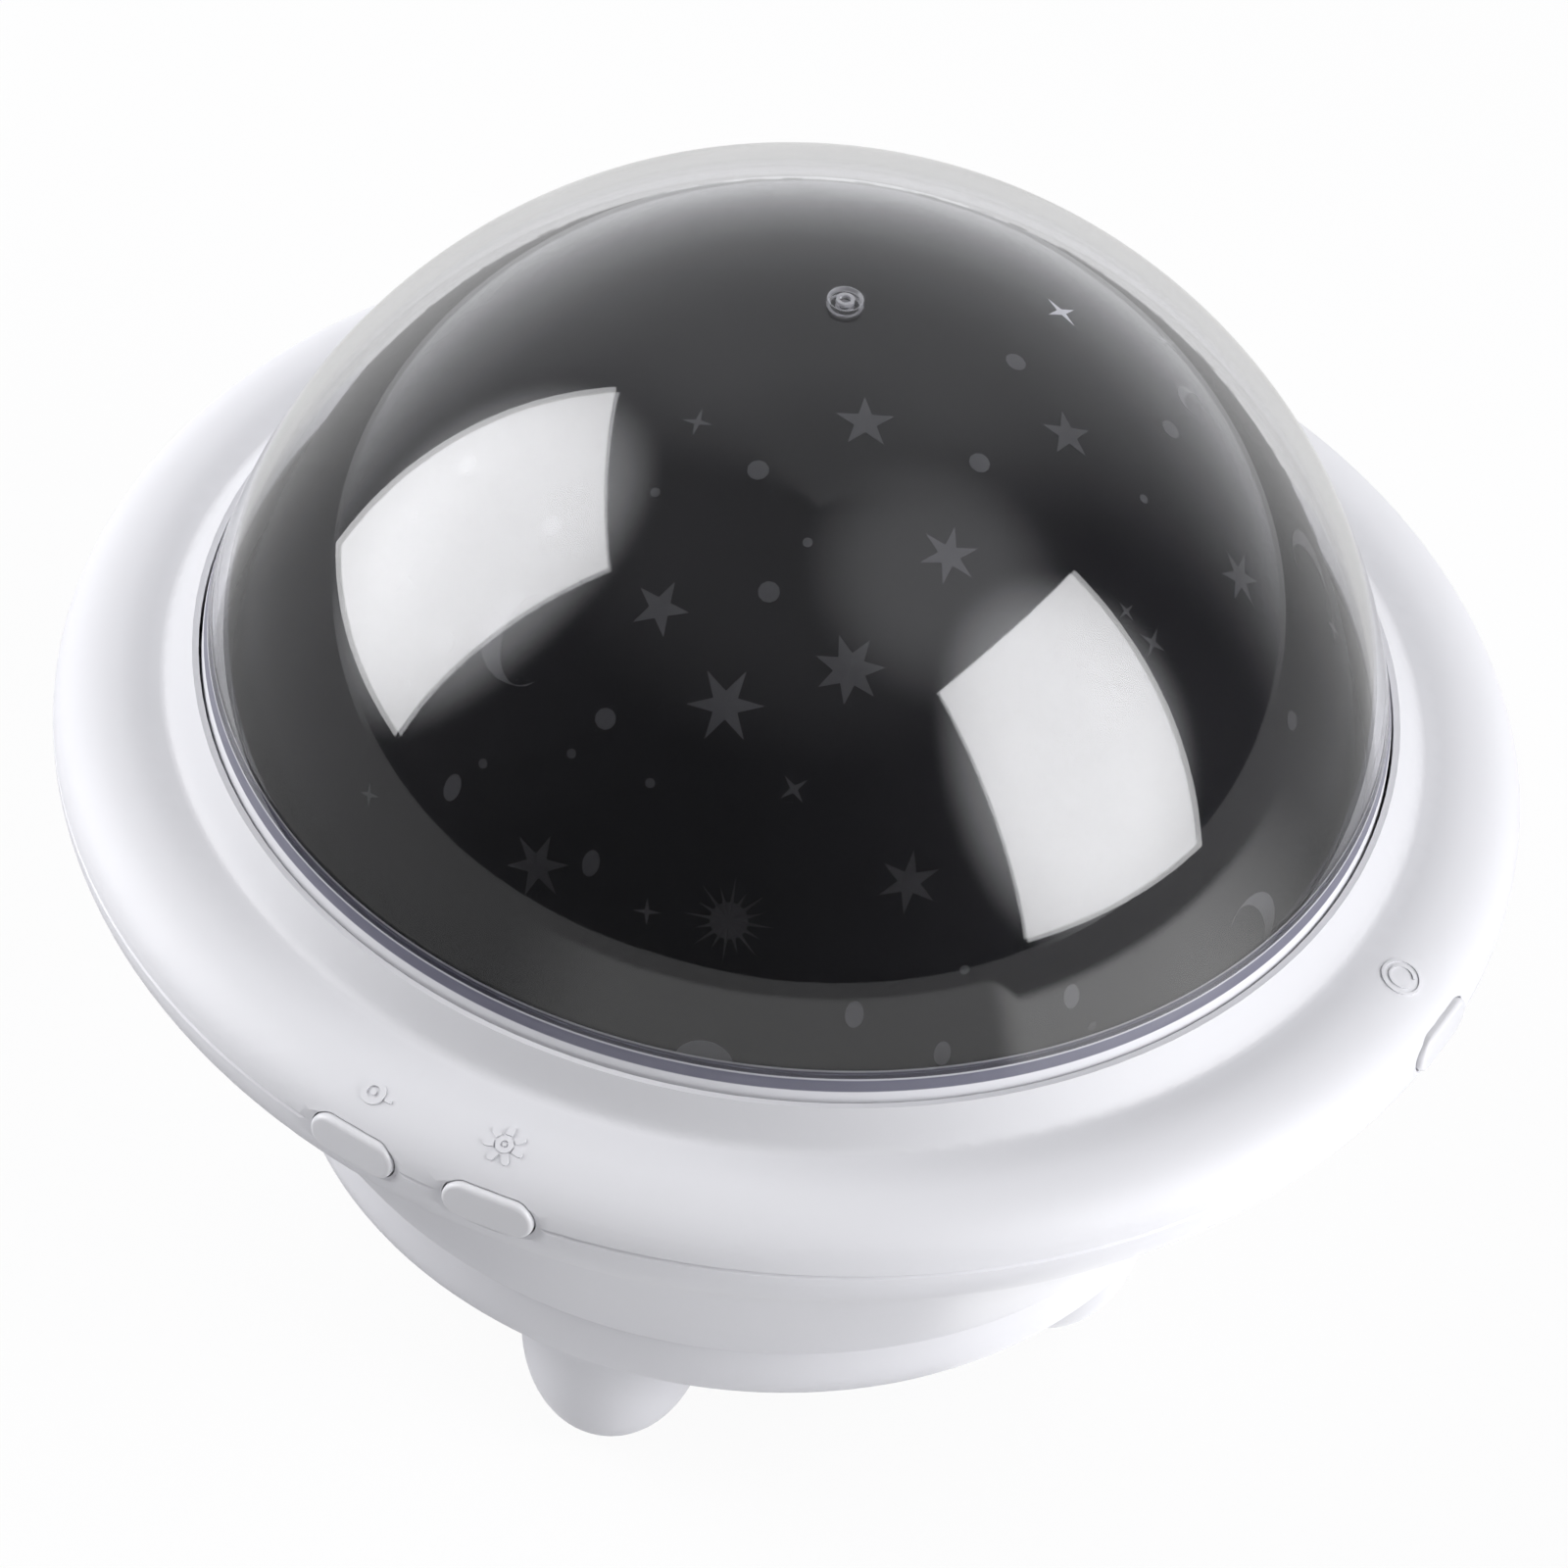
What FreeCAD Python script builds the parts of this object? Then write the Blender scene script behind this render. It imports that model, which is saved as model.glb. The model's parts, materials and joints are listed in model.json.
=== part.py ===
import FreeCAD, Part
import math
import os
from FreeCAD import Vector

# Star night light projector in the shape of a small flying saucer.
# Millimetres, +Z up. The origin is the centre of the plane that the four foot pads stand on.
# Azimuths are in degrees from the front, -Y, towards +X.

# Main body
neck_radius = 73.0
crest_width = 4.6
rim_width = 12.4
parting_z = 80.0
wall = 2.2
shell_gap = 0.3
parting_groove = 0.3
crest_height = 7.4
crest_flat = 1.6
neck_land = 0.8
neck_height = 4.6
neck_flare = 1.2
neck_flare_height = 1.8
neck_tube_wall = 3.0
seat_height = 4.0
seat_width = 2.0
tongue_depth = 1.6
tongue_wall = 1.2
tongue_root = 2.6
crease_inset = 10.8
crease_drop = 14.2
crease_reach = 3.4
crease_rise = 2.2
rim_drop = 5.8
bowl_radius = 58.6
bowl_z = 33.7

# Base with its four legs
base_step = 0.6
base_bottom_z = 20.7
base_edge_fillet = 9.0
base_gap = 0.3
leg_circle_radius = 42.0
leg_root_radius = 11.6
leg_tip_reach = 6.0
leg_side_radius = 10.8
leg_side_height = 6.0
leg_blend = 4.0
leg_count = 4
leg_azimuth = -44.0
leg_clear = 0.5
pad_radius = 2.6
pad_thickness = 2.0
pad_chamfer = 0.4
pad_clearance = 0.1

# Clear cover and printed star dome, both round the same centre on the parting plane
cover_rim_lift = 0.7
cover_wall = 2.0
cover_skirt_clearance = 0.4
cover_skirt_wall = 2.2
cover_rim_height = 2.0
dimple_radius = 2.1
dimple_depth = 0.5
stub_radius = 1.1
stub_bore = 0.7
stub_height = 0.45
lug_count = 3
lug_azimuth = 27.0
lug_width = 6.0
lug_depth = 1.5
lug_height = 2.8
lug_clearance = 0.3
heel_depth = 1.8
stop_width = 2.0
unlock_angle = 16.0
star_dome_gap = 2.5
star_dome_wall = 1.0

# Chassis under the cover
plate_drop = 2.0
plate_thickness = 2.0
plate_clearance = 0.2
chassis_wall = 2.0
flange_thickness = 2.0
ear_azimuths = (0.0, 75.0, 150.0, 225.0)
ear_radius = 4.6
ear_offset = 3.6
ear_boss_radius = 3.2
post_circle_radius = 48.0
post_radius = 4.2
post_azimuths = (45.0, 135.0, 225.0, 315.0)

# Turntable, its bearing and its gears
hub_radius = 12.0
hub_bore_radius = 9.6
hub_height = 14.0
shoulder_radius = 15.0
shoulder_height = 3.0
washer_thickness = 0.5
washer_clearance = 0.1
running_gap = 0.08
turntable_gap = 0.4
turntable_disc = 1.5
turntable_hub_wall = 4.0
turntable_rib = 1.6
turntable_rib_height = 3.0
turntable_rib_count = 6
spigot_height = 2.0
spigot_wall = 1.4
spigot_clearance = 0.4
gear_module = 1.25
gear_teeth = 48
pinion_teeth = 12
gear_face = 6.0
gear_rim = 4.0
pinion_end_gap = 0.4
pinion_collar = 1.6
pinion_collar_wall = 3.6
pressure_angle = 20.0
tooth_backlash = 0.16
centre_allowance = 0.12
addendum_share = 0.85
dedendum_share = 1.1

# Lamp column
post_height = 12.0
post_column_radius = 8.6
post_flange_radius = 14.5
post_flange = 1.5
post_head_rim = 1.4
post_spigot_clearance = 0.1
wire_bore_radius = 4.0
lamp_screw_offset = 6.6
led_board_radius = 12.6
led_wire_spacing = 3.2
led_wire_hole = 0.9
board_thickness = 1.6
led_count = 4
led_circle_radius = 7.6
led_side = 4.6
led_height = 1.8
led_lens_radius = 1.7
led_lens_height = 1.2

# Motor
motor_azimuth = 180.0
motor_radius = 12.0
motor_height = 17.0
motor_edge = 1.2
motor_offset = 7.5
motor_flange = 1.5
motor_ear_spacing = 31.0
motor_ear_radius = 3.4
motor_boss_radius = 2.8
motor_boss_height = 2.0
lead_box_width = 14.0
lead_box_depth = 5.0
lead_box_height = 9.0
lead_box_drop = 3.0
shaft_radius = 1.5
shaft_depth = 5.0

# Buttons and the switch behind each
button_azimuths = {"rotate": -57.3, "brightness": -45.4, "power": 39.5}
button_length = 11.8
button_height = 5.2
button_gap = 0.2
button_proud = 0.2
button_travel = 0.6
button_cap_depth = 3.4
button_flange = 1.2
button_flange_depth = 1.2
button_edge = 0.6
button_pocket_slack = 1.0
stem_radius = 1.9
dish_depth = 1.1
dish_margin = 3.0
dish_roundness = 2.4
switch_side = 6.0
switch_depth = 3.5
plunger_radius = 1.5
plunger_reach = 1.0
plunger_seat = 1.2
key_board_width = 12.4
key_board_setback = 13.8
key_board_below = 8.5
key_board_above = 4.4
key_rail_width = 3.0
key_rail_wall = 1.5
key_rail_drop = 3.0
key_rail_length = 20.0

# Socket at the back
socket_azimuth = 180.0
socket_width = 8.9
socket_height = 3.2
socket_depth = 7.3
socket_wall = 0.3
socket_blade = 0.8
socket_drop = 0.8
socket_pocket_length = 13.0
socket_pocket_height = 7.0
socket_pocket_depth = 1.8
socket_mouth_depth = 10.0
socket_board_width = 16.0
socket_board_depth = 15.0
socket_board_setback = 2.6
socket_post_radius = 2.4
socket_post_inset = 2.6
socket_post_offset = 3.0
socket_post_length = 12.0

# Main board
main_board_x = 66.0
main_board_y = 46.0
main_board_height = 9.3
main_board_corner = 2.0
board_boss_radius = 3.2
board_boss_inset = 4.0
chip_side = 9.0
chip_height = 1.6
can_radius = 4.0
can_height = 11.0
can_place = (18.0, 8.0)
coil_radius = 4.6
coil_height = 4.0
coil_edge = 0.8
coil_place = (-16.0, 6.0)
connector_count = 4
connector_step = 11.0
connector_width = 8.0
connector_depth = 5.5
connector_height = 6.0
connector_wall = 0.8
connector_floor = 1.4
connector_inset = 1.0

# Screws that hold the base under the bowl
base_screw_azimuths = (0.0, 90.0, 180.0, 270.0)
base_screw_circle = 30.0
base_boss_radius = 4.0
base_boss_height = 3.0
base_screw_sink = 2.6
head_clearance = 0.4

# Screws: shank radius, head radius and the length of each kind
screw_shank = 1.3
screw_head_radius = 2.5
screw_head_height = 1.6
screw_head_edge = 0.5
screw_tip = 1.0
pilot_clearance = 0.05
pilot_end = 1.0
shank_clearance = 0.25
socket_screw_length = 6.0
board_screw_length = 7.0
lamp_screw_length = 11.0
motor_screw_length = 5.0
chassis_screw_length = 6.0
body_screw_length = 12.0
base_screw_length = 10.0

# How far a cutter runs past the face that it opens, and how deep joined features root in each other
past = 1.0
root = 0.2

# Sizes that follow from the ones above
crest_radius = neck_radius + crest_width
body_radius = crest_radius + rim_width
crest_z = parting_z + crest_height
neck_top_z = crest_z + neck_height
seat_z = parting_z + seat_height
crease_radius = body_radius - crease_inset
crease_z = parting_z - crease_drop
base_radius = bowl_radius - base_step
cover_centre_z = parting_z
cover_rim_z = neck_top_z + cover_rim_lift
neck_tube_radius = neck_radius + neck_tube_wall
seat_radius = neck_radius - seat_width
plate_z = parting_z - plate_drop
plate_top_z = plate_z + plate_thickness
skirt_radius = neck_radius - cover_skirt_clearance
skirt_bore = skirt_radius - cover_skirt_wall
cover_radius = math.hypot(skirt_radius, cover_rim_z - cover_centre_z)
star_dome_radius = cover_radius - cover_wall - star_dome_gap
flange_radius = skirt_bore - lug_clearance
flange_z = seat_z + lug_height + lug_clearance
lug_inner_radius = skirt_bore - lug_depth
chassis_ring_radius = lug_inner_radius - lug_clearance
flange_top_z = flange_z + flange_thickness
ear_circle_radius = neck_tube_radius + ear_offset
disc_z = flange_top_z + turntable_gap
disc_top_z = disc_z + turntable_disc
floor_top_z = bowl_z + wall
main_board_z = bowl_z + main_board_height
shoulder_z = plate_top_z + shoulder_height
hub_top_z = plate_top_z + hub_height
post_top_z = hub_top_z + post_height
gear_radius = gear_module * gear_teeth / 2
pinion_radius = gear_module * pinion_teeth / 2
centre_distance = gear_radius + pinion_radius + centre_allowance
gear_z = disc_z - gear_face
turntable_hub_z = shoulder_z + washer_thickness
turntable_hub_top_z = hub_top_z - turntable_gap
base_top_z = bowl_z - base_gap
base_floor_z = base_bottom_z + wall
base_boss_top_z = base_floor_z + base_boss_height
leg_azimuths = [leg_azimuth + number * 360 / leg_count for number in range(leg_count)]
button_face_radius = body_radius + button_proud
key_board_radius = button_face_radius - key_board_setback
key_board_bottom_z = parting_z - key_board_below
key_board_top_z = parting_z + key_board_above
socket_z = parting_z - socket_drop
socket_low_z = socket_z - socket_height / 2
socket_pocket_floor = body_radius - socket_pocket_depth


def spot(radius, azimuth, z):
    """The point at this radius, azimuth and height."""
    angle = math.radians(azimuth)
    return Vector(radius * math.sin(angle), -radius * math.cos(angle), z)


def place(shape, azimuth):
    """Turns a shape that was made at the front round to its azimuth."""
    turned = shape.copy()
    turned.rotate(Vector(0, 0, 0), Vector(0, 0, 1), azimuth)
    return turned


def line(start, end):
    return Part.LineSegment(Vector(start[0], 0, start[1]), Vector(end[0], 0, end[1])).toShape()


def curve(*poles):
    """A Bezier edge in the section plane, through its first and last pole."""
    bezier = Part.BezierCurve()
    bezier.setPoles([Vector(r, 0, z) for r, z in poles])
    return bezier.toShape()


def section(*points):
    """A closed outline of straight lines in the section plane, as a face."""
    corners = [Vector(r, 0, z) for r, z in points]
    return Part.Face(Part.makePolygon(corners + corners[:1]))


def turn(face):
    return face.revolve(Vector(0, 0, 0), Vector(0, 0, 1), 360)


def ring(inner, outer, low, high):
    """A tube round the Z axis."""
    return turn(section((inner, low), (outer, low), (outer, high), (inner, high)))


def rod(radius, low, high, centre=(0.0, 0.0)):
    return Part.makeCylinder(radius, high - low, Vector(centre[0], centre[1], low))


def fuse(first, *others):
    return first.fuse(list(others)).removeSplitter()


def cut(first, *others):
    return first.cut(list(others))


def block(width, near, far, low, high):
    """A box at the front that runs from radius near to radius far."""
    return Part.makeBox(width, far - near, high - low, Vector(-width / 2, -far, low))


def stadium(length, height, near, far, z):
    """A bar with round ends that stands along the radius at the front."""
    half = (length - height) / 2
    end = height / 2
    low = [Vector(-half, -far, z - end), Vector(half, -far, z - end)]
    high = [Vector(half, -far, z + end), Vector(-half, -far, z + end)]
    edges = [
        Part.LineSegment(low[0], low[1]).toShape(),
        Part.Arc(low[1], Vector(half + end, -far, z), high[0]).toShape(),
        Part.LineSegment(high[0], high[1]).toShape(),
        Part.Arc(high[1], Vector(-half - end, -far, z), low[0]).toShape(),
    ]
    return Part.Face(Part.Wire(edges)).extrude(Vector(0, far - near, 0))


def screw(length, head_down=True):
    """A pan-head screw. Its seat is at the origin and its shank points up."""
    head = rod(screw_head_radius, screw_head_edge - screw_head_height, 0)
    crown = Part.makeCone(
        screw_head_radius - screw_head_edge,
        screw_head_radius,
        screw_head_edge,
        Vector(0, 0, -screw_head_height),
    )
    shank = rod(screw_shank, 0, length - screw_tip)
    tip = Part.makeCone(screw_shank, screw_shank / 2, screw_tip, Vector(0, 0, length - screw_tip))
    body = fuse(head, crown, shank, tip)
    if not head_down:
        body.rotate(Vector(0, 0, 0), Vector(1, 0, 0), 180)
    return body


def screws_at(points, length, head_down=True):
    made = []
    for point in points:
        one = screw(length, head_down)
        one.translate(point)
        made.append(one)
    return Part.makeCompound(made)


def pilot(point, depth, radius=None):
    """The hole that a screw cuts its thread in, upwards from the point."""
    return rod(radius or screw_shank + pilot_clearance, point.z, point.z + depth, (point.x, point.y))


def gear(teeth, face, low, phase):
    """A spur gear with involute flanks. A tooth stands at the phase angle, in degrees from +X."""
    pitch = gear_module * teeth / 2
    base = pitch * math.cos(math.radians(pressure_angle))
    tip = pitch + gear_module * addendum_share
    root = pitch - gear_module * dedendum_share
    half_tooth = (math.pi * gear_module / 2 - tooth_backlash / 2) / (2 * pitch)
    involute = math.tan(math.radians(pressure_angle)) - math.radians(pressure_angle)

    def flank_angle(radius):
        if radius <= base:
            return half_tooth + involute
        pressure = math.acos(base / radius)
        return half_tooth + involute - (math.tan(pressure) - pressure)

    def at(radius, angle):
        return Vector(radius * math.cos(angle), radius * math.sin(angle), low)

    start = max(base, root)
    radii = [start, (start + tip) / 2, tip]
    edges = []
    step = 2 * math.pi / teeth
    for tooth in range(teeth):
        middle = math.radians(phase) + tooth * step
        rise = [at(r, middle - flank_angle(r)) for r in radii]
        fall = [at(r, middle + flank_angle(r)) for r in reversed(radii)]
        if root < base:
            edges.append(Part.LineSegment(at(root, middle - flank_angle(base)), rise[0]).toShape())
        edges.append(Part.Arc(*rise).toShape())
        edges.append(Part.Arc(rise[-1], at(tip, middle), fall[0]).toShape())
        edges.append(Part.Arc(*fall).toShape())
        if root < base:
            edges.append(Part.LineSegment(fall[-1], at(root, middle + flank_angle(base))).toShape())
        foot = at(min(root, start), middle + flank_angle(base))
        valley = at(root, middle + step / 2)
        next_foot = at(min(root, start), middle + step - flank_angle(base))
        if root >= base:
            foot = fall[-1]
            next_foot = at(root, middle + step - flank_angle(root))
        edges.append(Part.Arc(foot, valley, next_foot).toShape())
    wire = Part.Wire(edges)
    return Part.Face(wire).extrude(Vector(0, 0, face))


# Upper shell: the saucer's rim, its crest and the neck that the cover drops into

def upper_shell_blank():
    round_share = 0.5523
    rim = crest_radius + rim_width * round_share
    land = neck_radius + neck_land
    outer = [
        line((body_radius - parting_groove, parting_z), (body_radius, parting_z + parting_groove)),
        curve(
            (body_radius, parting_z + parting_groove),
            (body_radius, parting_z + crest_height * round_share),
            (rim, crest_z),
            (crest_radius, crest_z),
        ),
        curve(
            (crest_radius, crest_z),
            (crest_radius - crest_flat, crest_z),
            (land + neck_flare, neck_top_z - neck_flare_height),
            (land, neck_top_z),
        ),
    ]
    inner_z = crest_z - wall
    inner_radius = body_radius - wall
    inner_rim = crest_radius + (inner_radius - crest_radius) * round_share
    inner = [
        line((land, neck_top_z), (neck_radius, neck_top_z)),
        line((neck_radius, neck_top_z), (neck_radius, seat_z)),
        line((neck_radius, seat_z), (seat_radius, seat_z)),
        line((seat_radius, seat_z), (seat_radius, plate_top_z)),
        line((seat_radius, plate_top_z), (neck_tube_radius, plate_top_z)),
        line((neck_tube_radius, plate_top_z), (neck_tube_radius, inner_z)),
        line((neck_tube_radius, inner_z), (crest_radius, inner_z)),
        curve(
            (crest_radius, inner_z),
            (inner_rim, inner_z),
            (inner_radius, parting_z + (inner_z - parting_z) * round_share),
            (inner_radius, parting_z),
        ),
        line((inner_radius, parting_z), (body_radius - parting_groove, parting_z)),
    ]
    return turn(Part.Face(Part.Wire(outer + inner)))


def ear_points(z):
    return [spot(ear_circle_radius, azimuth, z) for azimuth in ear_azimuths]


def make_upper_shell():
    shell = upper_shell_blank()
    tongue_outer = body_radius - wall - shell_gap
    tongue_inner = tongue_outer - tongue_wall
    tongue = ring(tongue_inner, tongue_outer, parting_z - tongue_depth, parting_z + tongue_root)
    crest_inside = crest_z - wall
    bosses = []
    holes = []
    for point in ear_points(plate_top_z):
        bosses.append(rod(ear_boss_radius, point.z, crest_inside + wall / 2, (point.x, point.y)))
        holes.append(pilot(point, crest_inside - point.z))
    shell = fuse(shell, tongue, *bosses)
    return cut(shell, *holes, *openings_in_rim())


# What the buttons and the socket need cut out of both shells

def openings_in_rim():
    cutters = []
    for azimuth in button_azimuths.values():
        cutters += [place(shape, azimuth) for shape in button_cutters()]
    cutters += [place(shape, socket_azimuth) for shape in socket_cutters()]
    return cutters


def button_cutters():
    flange_far = button_face_radius - button_cap_depth + button_gap
    flange_near = flange_far - button_flange_depth - button_travel - button_gap - button_pocket_slack
    outside = button_face_radius + wall
    hole = stadium(
        button_length + 2 * button_gap,
        button_height + 2 * button_gap,
        flange_near,
        outside,
        parting_z,
    )
    pocket = stadium(
        button_length + 2 * (button_flange + button_gap),
        button_height + 2 * (button_flange + button_gap),
        flange_near,
        flange_far,
        parting_z,
    )
    return [hole, pocket, dish()]


def dish():
    """The shallow hollow that each button lies in, cut by a flattened ball."""
    depth = dish_depth * dish_roundness
    edge = dish_roundness / math.sqrt(2 * dish_roundness - 1)
    matrix = FreeCAD.Matrix()
    matrix.scale(
        (button_length / 2 + dish_margin) * edge, depth, (button_height / 2 + dish_margin) * edge
    )
    hollow = Part.makeSphere(1.0).transformGeometry(matrix)
    hollow.translate(Vector(0, -(body_radius - dish_depth + depth), parting_z))
    return hollow


def socket_cutters():
    outside = body_radius + wall
    pocket = stadium(
        socket_pocket_length, socket_pocket_height, socket_pocket_floor, outside, socket_z
    )
    clear = 2 * shell_gap
    mouth = stadium(
        socket_width + clear,
        socket_height + clear,
        body_radius - socket_mouth_depth,
        outside,
        socket_z,
    )
    return [pocket, mouth]


# Lower shell: the underside of the rim, the cone of the bowl and its floor

def bowl_outline():
    return [
        line((0, bowl_z), (bowl_radius, bowl_z)),
        line((bowl_radius, bowl_z), (crease_radius, crease_z)),
        curve(
            (crease_radius, crease_z),
            (crease_radius + crease_reach, crease_z + crease_rise),
            (body_radius, parting_z - rim_drop),
            (body_radius, parting_z - parting_groove),
        ),
        line((body_radius, parting_z - parting_groove), (body_radius - parting_groove, parting_z)),
        line((body_radius - parting_groove, parting_z), (0, parting_z)),
        line((0, parting_z), (0, bowl_z)),
    ]


def bowl_inside():
    """The bowl's outline drawn in by one wall thickness."""
    slope = math.atan2(crease_z - bowl_z, crease_radius - bowl_radius)
    across = wall / math.sin(slope)
    low_radius = bowl_radius - across + wall / math.tan(slope)
    lift = wall / 4
    crease_in = (crease_radius - across + lift / math.tan(slope), crease_z + lift)
    inner_radius = body_radius - wall
    above = parting_z + past
    face = Part.Face(Part.Wire([
        line((0, floor_top_z), (low_radius, floor_top_z)),
        line((low_radius, floor_top_z), crease_in),
        curve(
            crease_in,
            (crease_in[0] + crease_reach, crease_in[1] + crease_rise),
            (inner_radius, parting_z - rim_drop),
            (inner_radius, parting_z),
        ),
        line((inner_radius, parting_z), (inner_radius, above)),
        line((inner_radius, above), (0, above)),
        line((0, above), (0, floor_top_z)),
    ]))
    return turn(face)


def board_corners(z):
    x = main_board_x / 2 - board_boss_inset
    y = main_board_y / 2 - board_boss_inset
    return [Vector(sx * x, sy * y, z) for sx in (-1, 1) for sy in (-1, 1)]


def base_screw_points(z):
    return [spot(base_screw_circle, azimuth, z) for azimuth in base_screw_azimuths]


def key_rails():
    """Two slotted posts beside each key board, up from the bowl."""
    rails = []
    slot = block(
        key_board_width + 2 * pilot_clearance,
        key_board_radius - pilot_clearance,
        key_board_radius + board_thickness + pilot_clearance,
        key_board_bottom_z,
        parting_z + past,
    )
    for side in (-1, 1):
        post = Part.makeBox(
            key_rail_width,
            board_thickness + 2 * key_rail_wall,
            key_rail_length,
            Vector(
                side * (key_board_width / 2) - key_rail_width / 2,
                -(key_board_radius + board_thickness + key_rail_wall),
                parting_z - key_rail_drop - key_rail_length,
            ),
        )
        rails.append(cut(post, slot))
    return rails


def socket_post_centres():
    radius = socket_pocket_floor - socket_board_depth + socket_post_offset
    half = socket_board_width / 2 - socket_post_inset
    return [(side * half, -radius) for side in (-1, 1)]


def socket_posts():
    """Two bosses that carry the socket's board."""
    top = socket_low_z - board_thickness
    return [
        rod(socket_post_radius, top - socket_post_length, top, centre)
        for centre in socket_post_centres()
    ]


def socket_screw_points(z):
    return [Vector(x, y, z) for x, y in socket_post_centres()]


def make_lower_shell():
    outer = turn(Part.Face(Part.Wire(bowl_outline())))
    shell = cut(outer, bowl_inside())
    added = []
    for azimuth in button_azimuths.values():
        added += [place(rail, azimuth) for rail in key_rails()]
    added += [place(post, socket_azimuth) for post in socket_posts()]
    added = [shape.common(outer) for shape in added]
    for corner in board_corners(floor_top_z - root):
        added.append(rod(board_boss_radius, corner.z, main_board_z, (corner.x, corner.y)))
    for point in base_screw_points(base_boss_top_z):
        added.append(rod(base_boss_radius, point.z, bowl_z + root, (point.x, point.y)))
    shell = fuse(shell, *added)
    holes = []
    board_pilot = board_screw_length - board_thickness + pilot_end
    for corner in board_corners(main_board_z - board_pilot):
        holes.append(pilot(corner, board_pilot))
    base_pilot = base_screw_sink + base_screw_length - (base_boss_top_z - base_bottom_z) + pilot_end
    for point in base_screw_points(base_boss_top_z):
        holes.append(pilot(point, base_pilot))
    for azimuth in post_azimuths:
        point = spot(post_circle_radius, azimuth, bowl_z - past)
        holes.append(pilot(point, wall + 2 * past, screw_shank + shank_clearance))
    socket_pilot = socket_screw_length - board_thickness + pilot_end
    for point in socket_screw_points(socket_low_z - board_thickness - socket_pilot):
        holes.append(place(pilot(point, socket_pilot), socket_azimuth))
    return cut(shell, *holes, *openings_in_rim())


# Base: a shallow cup with a rounded edge, standing on four hollow legs

def base_blank():
    corner = math.sqrt(0.5) * base_edge_fillet
    centre_r = base_radius - base_edge_fillet
    centre_z = base_bottom_z + base_edge_fillet
    edges = [
        line((0, base_bottom_z), (centre_r, base_bottom_z)),
        Part.Arc(
            Vector(centre_r, 0, base_bottom_z),
            Vector(centre_r + corner, 0, centre_z - corner),
            Vector(base_radius, 0, centre_z),
        ).toShape(),
        line((base_radius, centre_z), (base_radius, base_top_z)),
        line((base_radius, base_top_z), (0, base_top_z)),
        line((0, base_top_z), (0, base_bottom_z)),
    ]
    return turn(Part.Face(Part.Wire(edges)))


def base_hollow():
    """The inside of the cup, with a plain bevel behind its rounded edge."""
    radius = base_radius - wall
    bevel = base_edge_fillet - wall
    return turn(section(
        (0, base_floor_z),
        (radius - bevel, base_floor_z),
        (radius, base_floor_z + bevel),
        (radius, base_top_z + past),
        (0, base_top_z + past),
    ))


def leg():
    """A round-tipped leg that hangs down at the front."""
    side_z = base_bottom_z - base_edge_fillet / 2
    top_z = base_top_z - wall
    edges = [
        curve(
            (0, leg_clear),
            (leg_tip_reach, leg_clear),
            (leg_side_radius, leg_clear + leg_side_height),
            (leg_root_radius, side_z),
        ),
        line((leg_root_radius, side_z), (leg_root_radius, top_z)),
        line((leg_root_radius, top_z), (0, top_z)),
        line((0, top_z), (0, leg_clear)),
    ]
    shape = turn(Part.Face(Part.Wire(edges)))
    shape.translate(Vector(0, -leg_circle_radius, 0))
    return shape


def leg_hollow():
    """The tapered hollow inside a leg."""
    low_z = leg_clear + 2 * wall
    side_z = base_bottom_z - base_edge_fillet / 2
    inside = leg_root_radius - wall
    shape = turn(section(
        (0, low_z), (leg_side_radius / 2, low_z), (inside, side_z), (inside, base_top_z), (0, base_top_z)
    ))
    shape.translate(Vector(0, -leg_circle_radius, 0))
    return shape


def leg_root_edges(body):
    """The edges where the legs meet the underside of the base."""
    found = []
    for edge in body.Edges:
        box = edge.BoundBox
        if box.ZMax > base_bottom_z + base_edge_fillet or box.ZMin < base_bottom_z - root:
            continue
        for azimuth in leg_azimuths:
            centre = spot(leg_circle_radius, azimuth, 0)
            away = max(math.hypot(v.X - centre.x, v.Y - centre.y) for v in edge.Vertexes)
            if away < leg_root_radius + wall:
                found.append(edge)
    return found


def make_base():
    legs = [place(leg(), azimuth) for azimuth in leg_azimuths]
    body = fuse(base_blank(), *legs)
    body = body.makeFillet(leg_blend, leg_root_edges(body))
    cavities = [place(leg_hollow(), azimuth) for azimuth in leg_azimuths]
    body = cut(body, base_hollow(), *cavities)
    sleeves = []
    holes = []
    sink_z = base_bottom_z + base_screw_sink
    for point in base_screw_points(base_bottom_z):
        centre = (point.x, point.y)
        sleeves.append(rod(base_boss_radius, base_floor_z - root, base_boss_top_z, centre))
        holes.append(rod(screw_head_radius + head_clearance, base_bottom_z - past, sink_z, centre))
        holes.append(rod(screw_shank + shank_clearance, base_bottom_z, base_boss_top_z + past, centre))
    for azimuth in leg_azimuths:
        centre = spot(leg_circle_radius, azimuth, 0)
        holes.append(rod(pad_radius + pad_clearance, -past, pad_thickness, (centre.x, centre.y)))
    return cut(fuse(body, *sleeves), *holes)


def make_foot_pads():
    pads = []
    for azimuth in leg_azimuths:
        centre = spot(leg_circle_radius, azimuth, 0)
        pad = rod(pad_radius, 0.0, pad_thickness, (centre.x, centre.y))
        edge = [e for e in pad.Edges if e.BoundBox.ZMax < pad_thickness / 2]
        pads.append(pad.makeChamfer(pad_chamfer, edge))
    return Part.makeCompound(pads)


# Clear cover

def sphere_height(radius, ball):
    return math.sqrt(ball * ball - radius * radius)


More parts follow.
